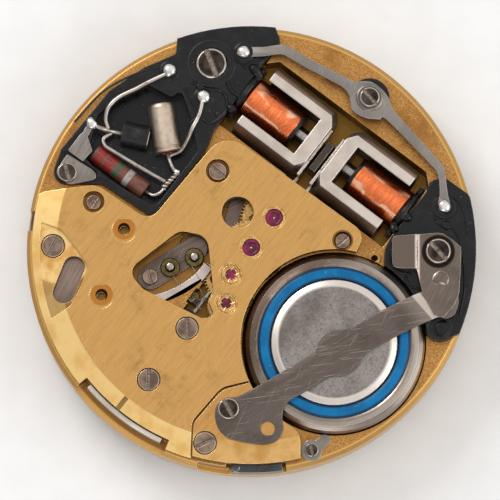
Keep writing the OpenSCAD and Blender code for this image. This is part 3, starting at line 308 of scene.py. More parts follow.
def wire(path, radius, sides=12, squeeze=1.0):
    """A tube along a path: rings of cos a along the side and sin a along the upright vector,
    drawn in to the path over half circles at both ends."""
    path = np.array(path, float)
    radius = np.broadcast_to(np.array(radius, float), len(path))
    slope = unit(np.gradient(path, axis=0))
    cap = np.linspace(math.pi / 2, 0, 5)[:-1]
    reach, shrink = np.sin(cap)[:, None], np.cos(cap)
    path = np.concatenate([path[:1] - reach * radius[0] * slope[:1], path,
                           (path[-1:] + reach * radius[-1] * slope[-1:])[::-1]])
    slope = np.concatenate([np.repeat(slope[:1], 4, 0), slope, np.repeat(slope[-1:], 4, 0)])
    radius = np.concatenate([shrink * radius[0], radius, (shrink * radius[-1])[::-1]])
    side = unit(np.cross((0, 0, 1), slope))
    up = np.cross(slope, side)
    a = around(sides)[None, :, None]
    rings = path[:, None] + radius[:, None, None] * (
        np.cos(a) * side[:, None] + squeeze * np.sin(a) * up[:, None])
    return rings.reshape(-1, 3), grid(len(path), sides)


def steel(name, dark, light, smear, degrees, rough=(0.26, 0.4), long_mm=3.0, edge="#efe6dc"):
    """Rolled or ground steel: lines long_mm long and 0.05 mm wide along an angle, a smear in
    patches of 3 mm, thin bright scratches 37 degrees from the lines, and painted edge highlights."""
    mat, where = begin(name, Metallic=1.0)
    soft, dot = rounded_edge_highlight(mat, 0.05)
    lines = brush_lines(mat, where, degrees, long_mm, 0.05)
    cloud = add(mat, "TexNoise", {"Vector": where, "Scale": 1 / 3.0, "Detail": 4.0})
    scratch = brush_lines(mat, where, degrees + 37, 2.2, 0.05, 1.0)
    body = coats(mat, dark, (light, lines, 0.32, 0.68),
                 (smear, cloud, 0.42, 0.66, 0.7),
                 ("#d8cfc6", scratch, 0.7, 0.76, 0.35),
                 (edge, dot, *EDGE, 0.8))
    return surface(mat, body, lines, rough, 0.004, soft)


dark_steel = steel("hardened steel, ground", "#5c4d45", "#8b7c72", "#4a3c35", 28)
light_steel = steel("spring steel, polished", "#a79b92", "#d9cfc6", "#8a7d74", 30, (0.2, 0.32))
# The third steel is a darker copy of the spring steel: painted shade for the low fork base, the fingers and
# the block between the cups.
painted_shade_steel = steel("spring steel, in painted shade", "#3c3531", "#5c524b", "#2b231c", 30)
oiled_brass = gilt_turned("brass, oiled", "#54472c", "#74673f", "#9d8d5e")
dress(dark_steel, "setting_lever", "stem_bush")
dress(steel("rocker steel, polished", "#7c695d", "#a38e80", "#65534a", 62, (0.2, 0.32)), "rocker_plate")
LEVER_TOP = 2.56


def band(path, width, z0, z1):
    """A flat strip along a path: the path plus and minus half the width along its side."""
    path = np.array(path, float)
    slope = unit(np.gradient(path, axis=0))
    side = np.column_stack([-slope[:, 1], slope[:, 0]]) * width / 2
    return slab(np.concatenate([path - side, (path + side)[::-1]]), z0, z1)


spring_way = curve([(-7.3, -3.72), (-6.3, -3.32), (-5.2, -2.95), (-4.2, -2.45), (-3.3, -1.75),
                    (-2.75, -1.05)])
made = piece("detent_band", [band(spring_way, 0.66, LEDGE_Z - 0.18, LEDGE_Z)],
             steel("spring steel, matt", "#b9aaa2", "#d6c9c1", "#a6968c", 28, (0.34, 0.46)))
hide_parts("detent_spring")


def ring(inner, outer, z0, z1, soft=0.03):
    """Profile of a washer: two walls, with both top edges rounded by a small slope."""
    return [(inner, z0), (inner, z1 - soft), (inner + soft, z1), (outer - soft, z1),
            (outer, z1 - soft), (outer, z0), (inner, z0)]


POSTS = ((-5.2, -1.15), (-3.65, -0.5))
piece("post_collars", [laid(turned(ring(0.26, 0.62, LEVER_TOP, LEVER_TOP + 0.3, 0.06)), (*at, 0))
                       for at in POSTS], oiled_brass, "setting")
pin_end = turned([(0, 3.2), (0.24, 3.2), (0.26, 3.27), (0.22, 3.34), (0.12, 3.38), (0, 3.39)], 32)
piece("post_heads", [laid(pin_end, (*at, 0)) for at in POSTS], light_steel, "setting")
fingers = [wire(np.linspace(a, b, 12), 0.022, 8) for a, b in (
    ((-5.0, -1.75, 2.92), (-4.55, -2.35, 2.93)), ((-3.8, -1.1, 2.92), (-3.35, -1.9, 2.93)),
    ((-4.35, -2.9, 2.62), (-3.2, -3.85, 2.62)), ((-3.45, -2.2, 2.62), (-2.9, -3.3, 2.62)))]
piece("wire_fingers", fingers, light_steel)
seat = turned([(0, 2.28), (0.1, 2.28), (0.14, 2.24), (0.14, 2.3), (0.3, 2.33), (0.4, 2.3), (0.43, 2.22),
               (0.43, 2.12), (0, 2.12)])
piece("lower_setting", [laid(seat, (-3.72, -3.0, 0))], oiled_brass)

# Tuning fork: a base screwed in the plate's slot, two spring-alloy tines, and on each a cup
# drawn from soft iron, nickel plated, with a magnet pin on its floor that dips into the coil.
# Between the cups stands a block whose dark is painted shade, and each tine's top edge has fine ribs.


def nickel():
    """Satin nickel plate: grains of 0.07 mm, soft grey clouds, painted shade down the sides, and
    a painted highlight on every edge."""
    mat, where = begin("nickel plate, satin", Metallic=1.0)
    soft, dot = rounded_edge_highlight(mat, 0.12)
    grain = add(mat, "TexNoise", {"Vector": where, "Scale": 1 / 0.07, "Detail": 2.0, "Roughness": 0.6})
    cloud = add(mat, "TexNoise", {"Vector": where, "Scale": 1 / 1.5, "Detail": 3.0})
    height = from_axis(mat, where, (0, 0))[1]
    body = coats(mat, "#d3c6bb", ("#bfb2a7", cloud, 0.35, 0.68),
                 ("#a3968b", grain, 0.56, 0.74, 0.5),
                 ("#857669", height, 3.6, 1.8, 0.7),
                 ("#f4eae0", dot, *EDGE, 0.8))
    return surface(mat, body, grain, (0.34, 0.46), 0.006, soft)


cup_nickel = nickel()
dress(cup_nickel, "cup_1", "cup_2")
# The fork's base and fingers take the darker copy of the spring steel, which is painted shade.
dress(painted_shade_steel, "fork_base", "pawl_finger", "index_finger")
dress(light_steel, "tine_1", "tine_2")
dress(steel("magnet steel, ground", "#8a827c", "#cdc6bf", "#6e6660", 53, (0.16, 0.28), 0.5),
      "magnet_1", "magnet_2")
TINE_U, TINE_TOP, RIB_FROM, RIB_TO = 0.51, 3.5, 6.75, 9.1
for number, side in ((1, -1), (2, 1)):
    steps = np.linspace(RIB_FROM, RIB_TO, 60)
    path = from_fork(side * (TINE_U + 0.02 * np.sin(9 * steps)), steps, TINE_TOP + 0 * steps).T
    piece(f"tine_ribs_{number}", [wire(path, 0.055 + 0.03 * np.sin(steps * 20) ** 2, 10)], light_steel,
          "tine_one" if number == 1 else "tine_two")
# The block between the cups, in the darker copy of the spring steel: its dark is painted shade.
stop = [from_fork(u, v)[:2] for u, v in ((-0.27, 6.35), (0.27, 6.35), (0.27, 8.55), (-0.27, 8.55))]
piece("stop_block", [slab(stop, 0.45, 3.25, 0.06)], painted_shade_steel)

# Bobbins and windings: a black moulded spool screwed beside each cup, wound with thousands
# of turns of enamelled copper wire thinner than a hair. The turns that show here are 0.1 mm
# apart, coarser than the real ones, so that they can be seen at all.


def moulded_black(name, dark, light, rough):
    """Glossy black thermoset: faint flow marks of 0.8 mm, fine dust, painted highlights on soft edges."""
    mat, where = begin(name, Specular_IOR_Level=0.3)
    soft, dot = rounded_edge_highlight(mat, 0.1)
    flow = add(mat, "TexNoise", {"Vector": where, "Scale": 1 / 0.8, "Detail": 4.0, "Roughness": 0.6})
    dust = add(mat, "TexNoise", {"Vector": where, "Scale": 1 / 0.13, "Detail": 1.0, "Roughness": 0.3})
    body = coats(mat, dark, (light, flow, 0.35, 0.75),
                 ("#5b5858", dot, 0.99, 0.84, 0.5),
                 ("#a29d99", dust, 0.74, 0.78, 0.35))
    return surface(mat, body, flow, rough, 0.02, soft)


black = moulded_black("black moulding compound", "#0b0a0c", "#1b191b", (0.18, 0.34))
CUP_V, CUP_Z, FLANGE_U = 7.9, 2.2, 6.15
WIND_R, WIND_LEN, SPOOL_R, TURN, LIP = 1.4, 3.7, 0.8, 0.1, 0.2
spool = turned([(0.62, 0), (1.28, 0), (1.32, 0.05), (1.32, 0.16), (1.28, LIP), (SPOOL_R, LIP + 0.01),
                (SPOOL_R, 3.9), (1.44, 3.91), (1.62, 3.96), (1.7, 4.08), (1.7, 4.2), (1.62, 4.3),
                (1.44, 4.35), (0.62, 4.35), (0.62, 0)], 72)
for side in (-1, 1):
    inner_end = from_fork(side * (FLANGE_U - WIND_LEN - LIP), CUP_V, CUP_Z)
    parts = [laid(spool, inner_end, side * from_fork(1, 0))]
    foot = [from_fork(side * u, v)[:2] for u, v in ((6.2, 6.0), (6.58, 6.0), (6.58, 9.8), (6.2, 9.8))]
    parts.append(slab(foot if side > 0 else foot[::-1], 1.5, 2.95, 0.08))
    # Two rounded lumps lie over each foot: a place along it, and how far they reach outwards.
    for along, outward in ((1.3, 1.5), (-1.5, 0.1)) if side < 0 else ((-1.35, 0.1), (-0.35, 0.9)):
        low = from_fork(side * 6.3, CUP_V + along, 3.45)
        high = from_fork(side * (6.5 + 0.28 * outward), CUP_V + along + 0.1 * outward, 3.6)
        way = curve([low, (low + high) / 2 + (0, 0, 0.06), high], 6)
        parts.append(wire(way, [0.26] * 6 + [0.3] * 7, 20, 0.8))
    made = piece("spool_1" if side < 0 else "spool_2", parts, black, crease=30)
    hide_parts("bobbin_1" if side < 0 else "bobbin_2")


def off(mat, value, middle):
    """How far a value lies from a middle one, either way."""
    return add(mat, "Math", {0: add(mat, "Math", {0: value, 1: middle}, operation="SUBTRACT")},
               operation="ABSOLUTE")


def enamelled_copper():
    """Copper under clear enamel: turn lines across the axis, a redder painted shade down the
    sides, and a painted highlight that sways along each shoulder, some 1.2 mm above the axis."""
    mat, where = begin("enamelled copper wire", Metallic=1.0, Coat_Weight=0.25, Coat_Roughness=0.15)
    turns = brush_lines(mat, where, 52.7, 3.0, 0.06, 1.0)
    sway = brush_lines(mat, where, -37.3, 1.3, 0.6, 1.0)
    height = from_axis(mat, where, (0, 0))[1]
    highlight_sway = add(mat, "Math", {0: sway, 1: 0.6, 2: height}, operation="MULTIPLY_ADD")
    body = coats(mat, "#dd6c3c", ("#ee824b", turns, 0.3, 0.7),
                 ("#9a4523", height, CUP_Z + 1.05, CUP_Z + 0.3, 0.75),
                 ("#ffc7a2", off(mat, highlight_sway, CUP_Z + 1.48), 0.1, 0.03, 0.9))
    return surface(mat, body, turns, (0.22, 0.34), 0.003)


copper = enamelled_copper()
chance = np.random.default_rng(7)


def wound(side):
    """The winding's skin on (s along the axis, a round it): its radius is the winding's
    plus a ridge |cos| of 0.012 mm per turn that climbs one turn in a circle, and slow waves
    of 0.008 mm from the layers below, and it is rounded over at both ends."""
    rows, cols = int(WIND_LEN / TURN) * 6, 72
    s = np.linspace(0, 1, rows)[:, None]
    a = around(cols)
    ridge = np.abs(np.cos(math.pi * (s * WIND_LEN / TURN + a / (2 * math.pi))))
    sag = sum(np.sin(2 * math.pi * (waves * s + phase)) / waves
              for waves, phase in zip((3, 7, 13), chance.random(3)))
    ends = 0.1 * (np.clip(1 - s / 0.04, 0, 1) ** 2 + np.clip(1 - (1 - s) / 0.03, 0, 1) ** 2)
    r = WIND_R - 0.014 + 0.012 * ridge + 0.008 * sag - ends
    out = FLANGE_U - WIND_LEN + s * WIND_LEN + 0 * a
    skin = np.moveaxis(from_fork(side * out, CUP_V + r * np.cos(a), CUP_Z + r * np.sin(a)), 0, -1)
    inner = turned([(WIND_R - 0.2, 0), (SPOOL_R + 0.01, 0), (SPOOL_R + 0.01, WIND_LEN),
                    (WIND_R - 0.2, WIND_LEN)], cols)
    root = from_fork(side * (FLANGE_U - WIND_LEN), CUP_V, CUP_Z)
    made = piece("copper_turns_1" if side < 0 else "copper_turns_2",
                 [(skin.reshape(-1, 3), grid(rows, cols)), laid(inner, root, side * from_fork(1, 0))],
                 copper, sharp=False)
    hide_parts("winding_1" if side < 0 else "winding_2")


wound(-1)
wound(1)

# Train bridge and strap block: gilt brass plates that hold the upper jewels. Their faces
# are brushed in straight lines up to the right, and the bevel round the outside is turned
# and polished after that, so it is smoother and brighter, like the sunk pocket.

BRIDGE_TOP, POLISH_R, POCKET_AT, POCKET_R = 3.65, 12.4, (-12.2, 0.2), 4.0
STEADY_HOLES = ((-8.15, 1.21), (-9.57, -3.04))
SINKS = ((-10.1, 2.95), (-2.15, 4.95), (5.85, 0.45))


def gilt_brushed(name, dark, light, polish, polish_shade):
    """Gilt brass brushed at 52 degrees: faint lines 1.3 mm long and 0.04 mm wide, brown
    smudges, painted shade below the top, on side faces, in holes and in sinks, painted edge
    highlights, and polish in the pocket and from POLISH_R out."""
    mat, where = begin(name, Metallic=1.0)
    soft, dot = rounded_edge_highlight(mat, 0.06)
    lines = brush_lines(mat, where, 52, 1.3, 0.04)
    broad = brush_lines(mat, where, 50, 2.2, 0.3, 3.0)
    smudge = add(mat, "TexNoise", {"Vector": where, "Scale": 1 / 1.7, "Detail": 6.0, "Roughness": 0.7})
    scratch = brush_lines(mat, where, 97, 1.6, 0.04, 1.0)
    shine = add(mat, "TexNoise", {"Vector": where, "Scale": 1 / 1.1, "Detail": 3.0})
    radius, height = from_axis(mat, where, (0, 0))
    pocket = from_axis(mat, where, POCKET_AT)[0]
    up = add(mat, "SeparateXYZ", {0: add(mat, "NewGeometry", out="True Normal")}, 2)
    sunk = add(mat, "MapRange", {"Value": height, "From Min": BRIDGE_TOP - 0.05,
                                 "From Max": BRIDGE_TOP - 0.25, "To Max": POCKET_R})
    inside = add(mat, "Math", {0: sunk, 1: pocket}, operation="SUBTRACT")
    bevel = coats(mat, polish, (polish_shade, shine, 0.4, 0.72))
    floor = coats(mat, "#fbd48d", ("#dda55c", shine, 0.4, 0.65))
    body = coats(mat, dark, (light, lines, 0.3, 0.7),
                 ("#a87c45", broad, 0.48, 0.74, 0.3),
                 ("#87673a", smudge, 0.54, 0.76, 0.55),
                 ("#ffe2b0", scratch, 0.72, 0.76, 0.25),
                 (bevel, radius, POLISH_R + 0.02, POLISH_R + 0.1),
                 # Painted shade below the top face.
                 ("#5b3716", height, BRIDGE_TOP - 0.1, BRIDGE_TOP - 0.25, 0.75),
                 (floor, inside, 0.4, 0.6, 0.9),
                 # Painted shade on faces turned sideways.
                 ("#70451c", up, 0.55, 0.1, 0.55))
    # Each steady hole: a darker orange disc 0.7 mm in radius, with painted shade nearly black inside 0.4
    # mm.
    for hole in STEADY_HOLES:
        away = from_axis(mat, where, hole)[0]
        body = coats(mat, body, ("#b9762f", away, 0.74, 0.66, 0.9), ("#2a1608", away, 0.42, 0.36))
    body = coats(mat, body, ("#ffe0a2", dot, *EDGE, 0.75))
    # Painted shade in each sink, round the screw head.
    for sink in SINKS:
        body = coats(mat, body, ("#6f4a22", from_axis(mat, where, sink)[0], 0.7, 0.64, 0.9))
    flat = coats(mat, "#ffffff", ("#404040", radius, POLISH_R, POLISH_R + 0.1))
    grain = add(mat, "Math", {0: lines, 1: flat}, operation="MULTIPLY")
    return surface(mat, body, grain, (0.24, 0.38), 0.005, soft)


dress(gilt_brushed("gilt brass, brushed", "#c69658", "#d3a462", "#ffd88f", "#f2c073"), "train_bridge")
dress(gilt_brushed("gilt brass, brushed, warmer", "#bd8b4c", "#d3a061", "#deb070", "#c4944f"),
      "strap_block")

# Jewels: synthetic ruby, dark purple red and a little clear, turned and polished, with an oil
# sink and a pivot hole, rubbed into brass settings. The two lower ones are cap jewels held by
# an open gilt spring with lobes.


def clouded(name, under, over, size_mm, rough, depth_mm=0.0, detail=2.0, span=(0.3, 0.7), **ports):
    """A plain finish: one shade clouded with another in patches of a size, and a roughness
    that goes with them."""
    mat, where = begin(name, **ports)
    cloud = add(mat, "TexNoise", {"Vector": where, "Scale": 1 / size_mm, "Detail": detail})
    return surface(mat, coats(mat, under, (over, cloud, *span)), cloud, rough, depth_mm)


red = clouded("synthetic ruby", "#5c0d33", "#a01a55", 0.5, (0.05, 0.08), detail=3.0, span=(0.35, 0.7),
              IOR=1.76, Transmission_Weight=0.1, Specular_IOR_Level=0.16)
dress(red, "jewels", "lower_jewels")
setting_gilt = gilt_turned("gilt brass, polished", "#b5803c", "#e8bb73", "#fff0c8")
dress(setting_gilt, "jewel_settings", "shock_springs")


def circle(radius, count):
    """Points at (r cos a, r sin a); the radius may differ from point to point."""
    return np.stack([radius * np.cos(around(count)), radius * np.sin(around(count))], 1)


OPEN_JEWELS, CAP_JEWELS, LOBE_POINTS = ((0, 2.42), (0, 0)), ((0, -2.17), (0.9, -3.82)), 120
sink = turned([(0.36, 3.66), (0.36, 3.79), (0.42, 3.82), (0.52, 3.81), (0.575, 3.77), (0.575, 3.66),
               (0.36, 3.66)])
tip = turned([(0, 3.72), (0.05, 3.72), (0.07, 3.7), (0.07, 3.6), (0, 3.6)], 20)
piece("ruby_rims", [laid(sink, from_fork(*at)) for at in OPEN_JEWELS], red)
piece("pivot_tips", [laid(tip, from_fork(*at)) for at in OPEN_JEWELS], light_steel)
outer = circle(0.605, LOBE_POINTS)
hole = circle(0.47 - 0.25 * np.clip(np.cos(4 * around(LOBE_POINTS) + 0.5), 0, 1) ** 2, LOBE_POINTS)
rings = [np.column_stack([edge, np.full(LOBE_POINTS, z)]) for edge, z in
         ((outer, 3.78), (outer, 3.84), (outer * 0.95, 3.87), (outer * 0.84, 3.87),
          (hole * 1.04, 3.82), (hole, 3.8), (hole, 3.76), (outer, 3.78))]
lobed = np.concatenate(rings), grid(len(rings), LOBE_POINTS)
piece("cap_springs", [laid(lobed, from_fork(*at)) for at in CAP_JEWELS], setting_gilt)

# Mouldings: the circuit's tray, the contact block and the insulator under the bar are black
# moulding compound. Ribs and lumps of it run round the screw and the solder points.

dress(black, "circuit_module", "contact_module", "contact_insulator")
MODULE_TOP, DOTS_PER_MM, LEFT_EDGE, TOP_EDGE = 3.5, 51.18, -15.24, 14.94


def at_photo(*places, z=0.0):
    """Places read in the photo, enlarged 3.298 times, as millimetres: right is +X, up is +Y,
    and its left and top edges lie at LEFT_EDGE and TOP_EDGE."""
    x, y = np.array(places, float).T / DOTS_PER_MM
    return np.column_stack([x + LEFT_EDGE, TOP_EDGE - y, np.full(len(x), z)])


RIBS = (
    (((585, 215), (630, 235), (680, 245), (700, 275), (692, 318), (650, 350), (622, 340)), 0.11),
    (((560, 235), (590, 290), (600, 330), (580, 352), (600, 372)), 0.09),
    (((745, 140), (762, 165), (800, 168), (818, 140)), 0.12),
    (((700, 205), (712, 240), (740, 262)), 0.14),
    (((200, 345), (300, 240), (420, 178), (480, 165)), 0.07),
    (((1380, 668), (1402, 690), (1440, 700), (1462, 740), (1476, 820), (1478, 900), (1462, 985)), 0.08),
    (((1240, 770), (1236, 810), (1262, 842), (1300, 850)), 0.1),
    (((1285, 862), (1300, 890), (1335, 900)), 0.1),
    (((1395, 585), (1445, 600), (1475, 640), (1490, 720)), 0.07),
)
ribs = [wire(curve(at_photo(*places, z=MODULE_TOP)), size, 14, 0.8) for places, size in RIBS]
piece("moulded_ribs", ribs, black)
STUDS = (((1408, 1030), 0.52, 3.68), ((612, 228), 0.26, 3.62), ((1420, 690), 0.28, 3.58),
         ((672, 322), 0.2, 3.58))
studs = [laid(turned([(0, top), (0.75 * r, top), (r, top - 0.06), (r + 0.04, MODULE_TOP - 0.02),
                      (0, MODULE_TOP - 0.02)], 40), at_photo(place)[0]) for place, r, top in STUDS]
piece("moulded_studs", studs, black)

# Electrical parts in the tray: a tinned can with a bead of dark red glass round its leads, a
# black half-round diode, a lacquered carbon resistor with colour bands, and the tinned wires
# that join them to the solder points.

TRAY, CAN_AT, CAN_R, CAN_LEN = 2.0, (-5.58, 7.85), 0.87, 3.2


def heading(degrees):
    """The level direction at an angle to +X."""
    return np.array([math.cos(math.radians(degrees)), math.sin(math.radians(degrees)), 0])


can_way = heading(-80.7)
can_top = np.array([*CAN_AT, TRAY + CAN_R]) - can_way * CAN_LEN / 2


def tinned(name, light, dark, scuffed, rough):
    """Tinned metal: satin, with soft scuffs of 0.45 mm and a few dark strokes."""
    mat, where = begin(name, Metallic=1.0)
    scuff = add(mat, "TexNoise", {"Vector": where, "Scale": 1 / 0.45, "Detail": 4.0, "Roughness": 0.6})
    stroke = brush_lines(mat, where, 66, 0.5, 0.1, 3.0)
    body = coats(mat, light, (dark, scuff, 0.4, 0.72),
                 ("#4d433d", stroke, 0.66, 0.72, scuffed))
    return surface(mat, body, scuff, rough, 0.006)


bead_glass = clouded("sealing glass", "#7a1916", "#b03028", 0.2, (0.12, 0.2), Coat_Weight=0.3)
shell = turned([(0, 0), (CAN_R - 0.24, 0), (CAN_R - 0.1, 0.05), (CAN_R - 0.01, 0.18), (CAN_R, 0.32),
                (CAN_R, 2.84), (CAN_R - 0.05, 2.9), (CAN_R - 0.05, 2.96), (CAN_R, 3.02), (CAN_R, 3.14),
                (CAN_R - 0.05, 3.19), (CAN_R - 0.14, 3.19), (CAN_R - 0.2, 3.1), (0, 3.1)], 72)
bead = turned([(0, 3.2), (0.2, 3.2), (0.4, 3.17), (0.62, 3.1), (0, 3.05)], 40)
made = piece("can_shell", [laid(shell, can_top, can_way), laid(bead, can_top, can_way, 1)],
             [tinned("tinned steel", "#cdbba9", "#b4a28f", 0.55, (0.36, 0.5)), bead_glass])
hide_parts("can_transistor")

dress(moulded_black("black epoxy, streaked", "#0e0d0e", "#2b2928", (0.3, 0.5)), "plastic_diode")
DIODE_AT, EDGE_R, RIB_LENGTH = np.array([-7.45, 7.4, TRAY]), 0.7, 1.5
diode_way, across = heading(-12), heading(78)
a = np.linspace(math.radians(-62), math.radians(118), 40)[:, None]
arc = DIODE_AT + (0, 0, 0.66) + diode_way * 0.87 + EDGE_R * (np.cos(a) * -across + np.sin(a) * (0, 0, 1))
rib_start = DIODE_AT + (0, 0, 1.4) - diode_way * RIB_LENGTH / 2
stripes = [wire(np.linspace(start, start + diode_way * RIB_LENGTH, 8), 0.04, 8)
           for start in (rib_start + across * aside for aside in (0.34, 0.02, -0.3))]
wire_tin = tinned("tinned copper wire", "#bfb6ae", "#978e86", 0.0, (0.3, 0.42))
piece("diode_edge", [wire(arc, 0.05, 10)], wire_tin)
piece("diode_ribs", stripes, black)

RES_AT, RES_R, RES_LEN = (-8.45, 5.05), 0.64, 4.1
res_way = heading(-37.6)
res_start = np.array([*RES_AT, TRAY + RES_R]) - res_way * RES_LEN / 2
BANDS = ((0.0, "#6d3f2f"), (0.05, "#8a211c"), (0.2, "#6d3f2f"), (0.24, "#8a211c"), (0.38, "#6d3f2f"),
         (0.43, "#2c5a3a"), (0.5, "#6d3f2f"), (0.62, "#a69d99"), (0.72, "#6d3f2f"), (1.0, "#6d3f2f"))


def lacquer(code):
    """Paint band over baked lacquer: mottled in patches of 0.35 mm, with streaks drawn along
    the body by the brush, glossy."""
    mat, where = begin("band lacquer " + code[1:], Coat_Weight=0.2, Coat_Roughness=0.15)
    mottle = add(mat, "TexNoise", {"Vector": where, "Scale": 1 / 0.35, "Detail": 4.0, "Roughness": 0.65})
    streak = brush_lines(mat, where, -37.6, 2.5, 0.09, 2.0)
    body = coats(mat, code, ("#4d2219", mottle, 0.5, 0.72, 0.75),
                 ("#b98f80", streak, 0.58, 0.72, 0.3))
    return surface(mat, body, mottle, (0.24, 0.4), 0.006)


def resistor_radius(s):
    """Radius of the body along its length, 0 to 1: a little larger caps, square ends with a
    corner of 0.06 mm."""
    cap = 0.03 * (np.clip((0.17 - s) / 0.03, 0, 1) + np.clip((s - 0.83) / 0.03, 0, 1))
    end = np.minimum(np.minimum(s, 1 - s) * RES_LEN / 0.06, 1)
    return RES_R - 0.035 + cap - 0.06 * (1 - np.sqrt(np.clip(1 - (1 - end) ** 2, 0, 1)))


paints, parts = {}, []
for (s0, code), (s1, _) in zip(BANDS, BANDS[1:]):
    s = np.unique(np.concatenate([np.linspace(s0, s1, 12), [q for q in (0.005, 0.012, 0.988, 0.995)
                                                            if s0 < q < s1]]))
    profile = np.column_stack([resistor_radius(s), s * RES_LEN])
    if s0 == 0:
        profile = np.concatenate([[(0, 0)], profile])
    if s1 == 1:
        profile = np.concatenate([profile, [(0, RES_LEN)]])
    parts.append(laid(turned(profile, 64), res_start, res_way, paints.setdefault(code, len(paints))))
made = piece("banded_resistor", parts, [lacquer(code) for code in paints])
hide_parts("resistor")

OVER, LOW, LEAD_R = 3.66, 3.16, 0.14
ROUTES = (
    [(-5.5, 11.25, OVER), (-6.1, 10.97, OVER), (-6.7, 10.68, OVER), (-7.4, 10.3, OVER), (-8.5, 9.75, OVER),
     (-9.15, 9.1, OVER), (-9.35, 8.4, 3.47), (-9.2, 7.8, 3.47)],
    [(-9.9, 7.85, OVER), (-9.5, 7.7, 3.56), (-8.9, 7.6, 3.12), (-8.3, 7.5, 2.92)],
    [(-9.0, 7.5, 3.07), (-9.5, 7.15, 3.07), (-9.4, 6.7, 3.12), (-8.9, 6.35, LOW), (-7.0, 5.2, LOW),
     (-5.6, 4.4, LOW)],
    [(-3.15, 9.4, OVER), (-3.35, 8.6, OVER), (-3.8, 7.7, OVER), (-4.05, 7.1, 3.32), (-4.5, 6.4, 2.97),
     (-5.15, 6.1, 2.89)],
    [(-5.35, 6.15, 2.82), (-5.15, 5.5, 2.97), (-4.85, 4.95, 3.05)],
    [(-6.75, 3.75, TRAY + RES_R), (-6.3, 3.5, 2.8), (-5.85, 3.65, 2.95), (-5.55, 3.95, 3.0)],
)
leads = [wire(curve(route), LEAD_R, 16) for route in ROUTES]
# Two more are twisted together: each circles their middle line two and a half times.
low_end, high_end, TWISTS = np.array([-5.62, 3.95, 3.06]), np.array([-4.68, 4.9, 3.1]), 2.5
t = np.linspace(0, 1, 60)[:, None]
middle = low_end + (high_end - low_end) * t
side = np.array([-0.707, 0.707, 0])
for phase in (0, math.pi):
    a = 2 * math.pi * TWISTS * t + phase
    leads.append(wire(middle + 0.12 * (np.cos(a) * side + np.sin(a) * (0, 0, 1)), 0.115, 12))
made = piece("tinned_leads", leads, wire_tin)
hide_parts("component_leads")

# Solder: drops of tin and lead that froze with a bright skin, three of them with a dark ring
# of burnt flux round the foot.


def solder():
    """Solder: satin bright, with frosted patches of 0.35 mm, and painted shade on its steep sides near the
    foot.
    """
    mat, where = begin("tin-lead solder", Metallic=1.0)
    frost = add(mat, "TexNoise", {"Vector": where, "Scale": 1 / 0.35, "Detail": 3.0})
    up = add(mat, "SeparateXYZ", {0: add(mat, "NewGeometry", out="Normal")}, 2)
    body = coats(mat, "#e9e5e1", ("#c3bcb6", frost, 0.42, 0.75),
                 ("#6d6059", up, 0.6, 0.1, 0.8))
    return surface(mat, body, frost, (0.14, 0.32), 0.015)


def drop(at, r, height, lumps=0.1):
    """A half ball on (tilt t, turn a), flattened to a height, its radius varied by a few low
    waves of random phase."""
    rows, cols = 18, 40
    t, a = np.linspace(0, math.pi / 2, rows)[:, None], around(cols)
    phase = chance.random(4) * 6.3
    wave = 1 + lumps * (np.sin(2 * a + phase[0]) * np.sin(t) + 0.6 * np.sin(3 * a + phase[1] + 2 * t)
                        + 0.5 * np.sin(5 * a + phase[2]) * np.sin(2 * t)) * np.sin(t)
    out = r * wave * np.sin(t) ** 0.8
    z = at[2] + height * np.cos(t) * (1 + 0.3 * lumps * np.sin(a + phase[3]) * np.sin(t))
    points = np.stack([at[0] + out * np.cos(a), at[1] + out * np.sin(a), z], -1).reshape(-1, 3)
    last = (rows - 1) * cols
    cap = [(last + j, last + (j + 1) % cols, rows * cols) for j in range(cols)]
    return np.concatenate([points, [at]]), [tuple(face) for face in grid(rows, cols)] + cap


BAR_TOP = 3.86
# Each drop: its place, radius and height, and how lumpy it is.
DROPS = (((-5.25, 11.5, 3.49), 0.47, 0.42, 0.04), ((-0.5, 12.65, BAR_TOP - 0.02), 0.44, 0.38, 0.04),
         ((-3.05, 9.8, 3.49), 0.47, 0.42, 0.04), ((-10.25, 8.05, 3.54), 0.38, 0.3, 0.12),
         ((12.35, 2.65, BAR_TOP - 0.02), 0.46, 0.4, 0.04), ((-4.75, 4.95, 2.96), 0.28, 0.3, 0.16))
made = piece("solder_drops", [drop(*each) for each in DROPS], solder(), crease=60)
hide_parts("solder_joints")
flux = [laid(turned([(r, 0), (r, 0.03), (r + 0.09, 0.05), (r + 0.19, 0.03), (r + 0.22, 0)], 48), at)
        for at, r in ((DROPS[0][0], 0.44), (DROPS[2][0], 0.44), (DROPS[1][0], 0.41))]
piece("flux_rings", flux, black)

# Contacts and strap, stamped from sheet of 0.15 or 0.16 mm and screwed down: a spring steel
# strap that presses on the cell, a nickel silver bar from one moulding to the other, and a
# plate with a tab bent up along a fold, which carries a painted highlight, and a pressed half moon.

stamped = steel("nickel silver, stamped", "#7d756f", "#9c948d", "#655c55", 62, (0.26, 0.38), 2.0)
dress(stamped, "ground_tab", "corner_clamp", "cell_clip", "motion_cover")
CONTACT_Z, SHEET, HOLE_AT, BEND = 4.05, 0.15, (11.95, -0.3), 6.0


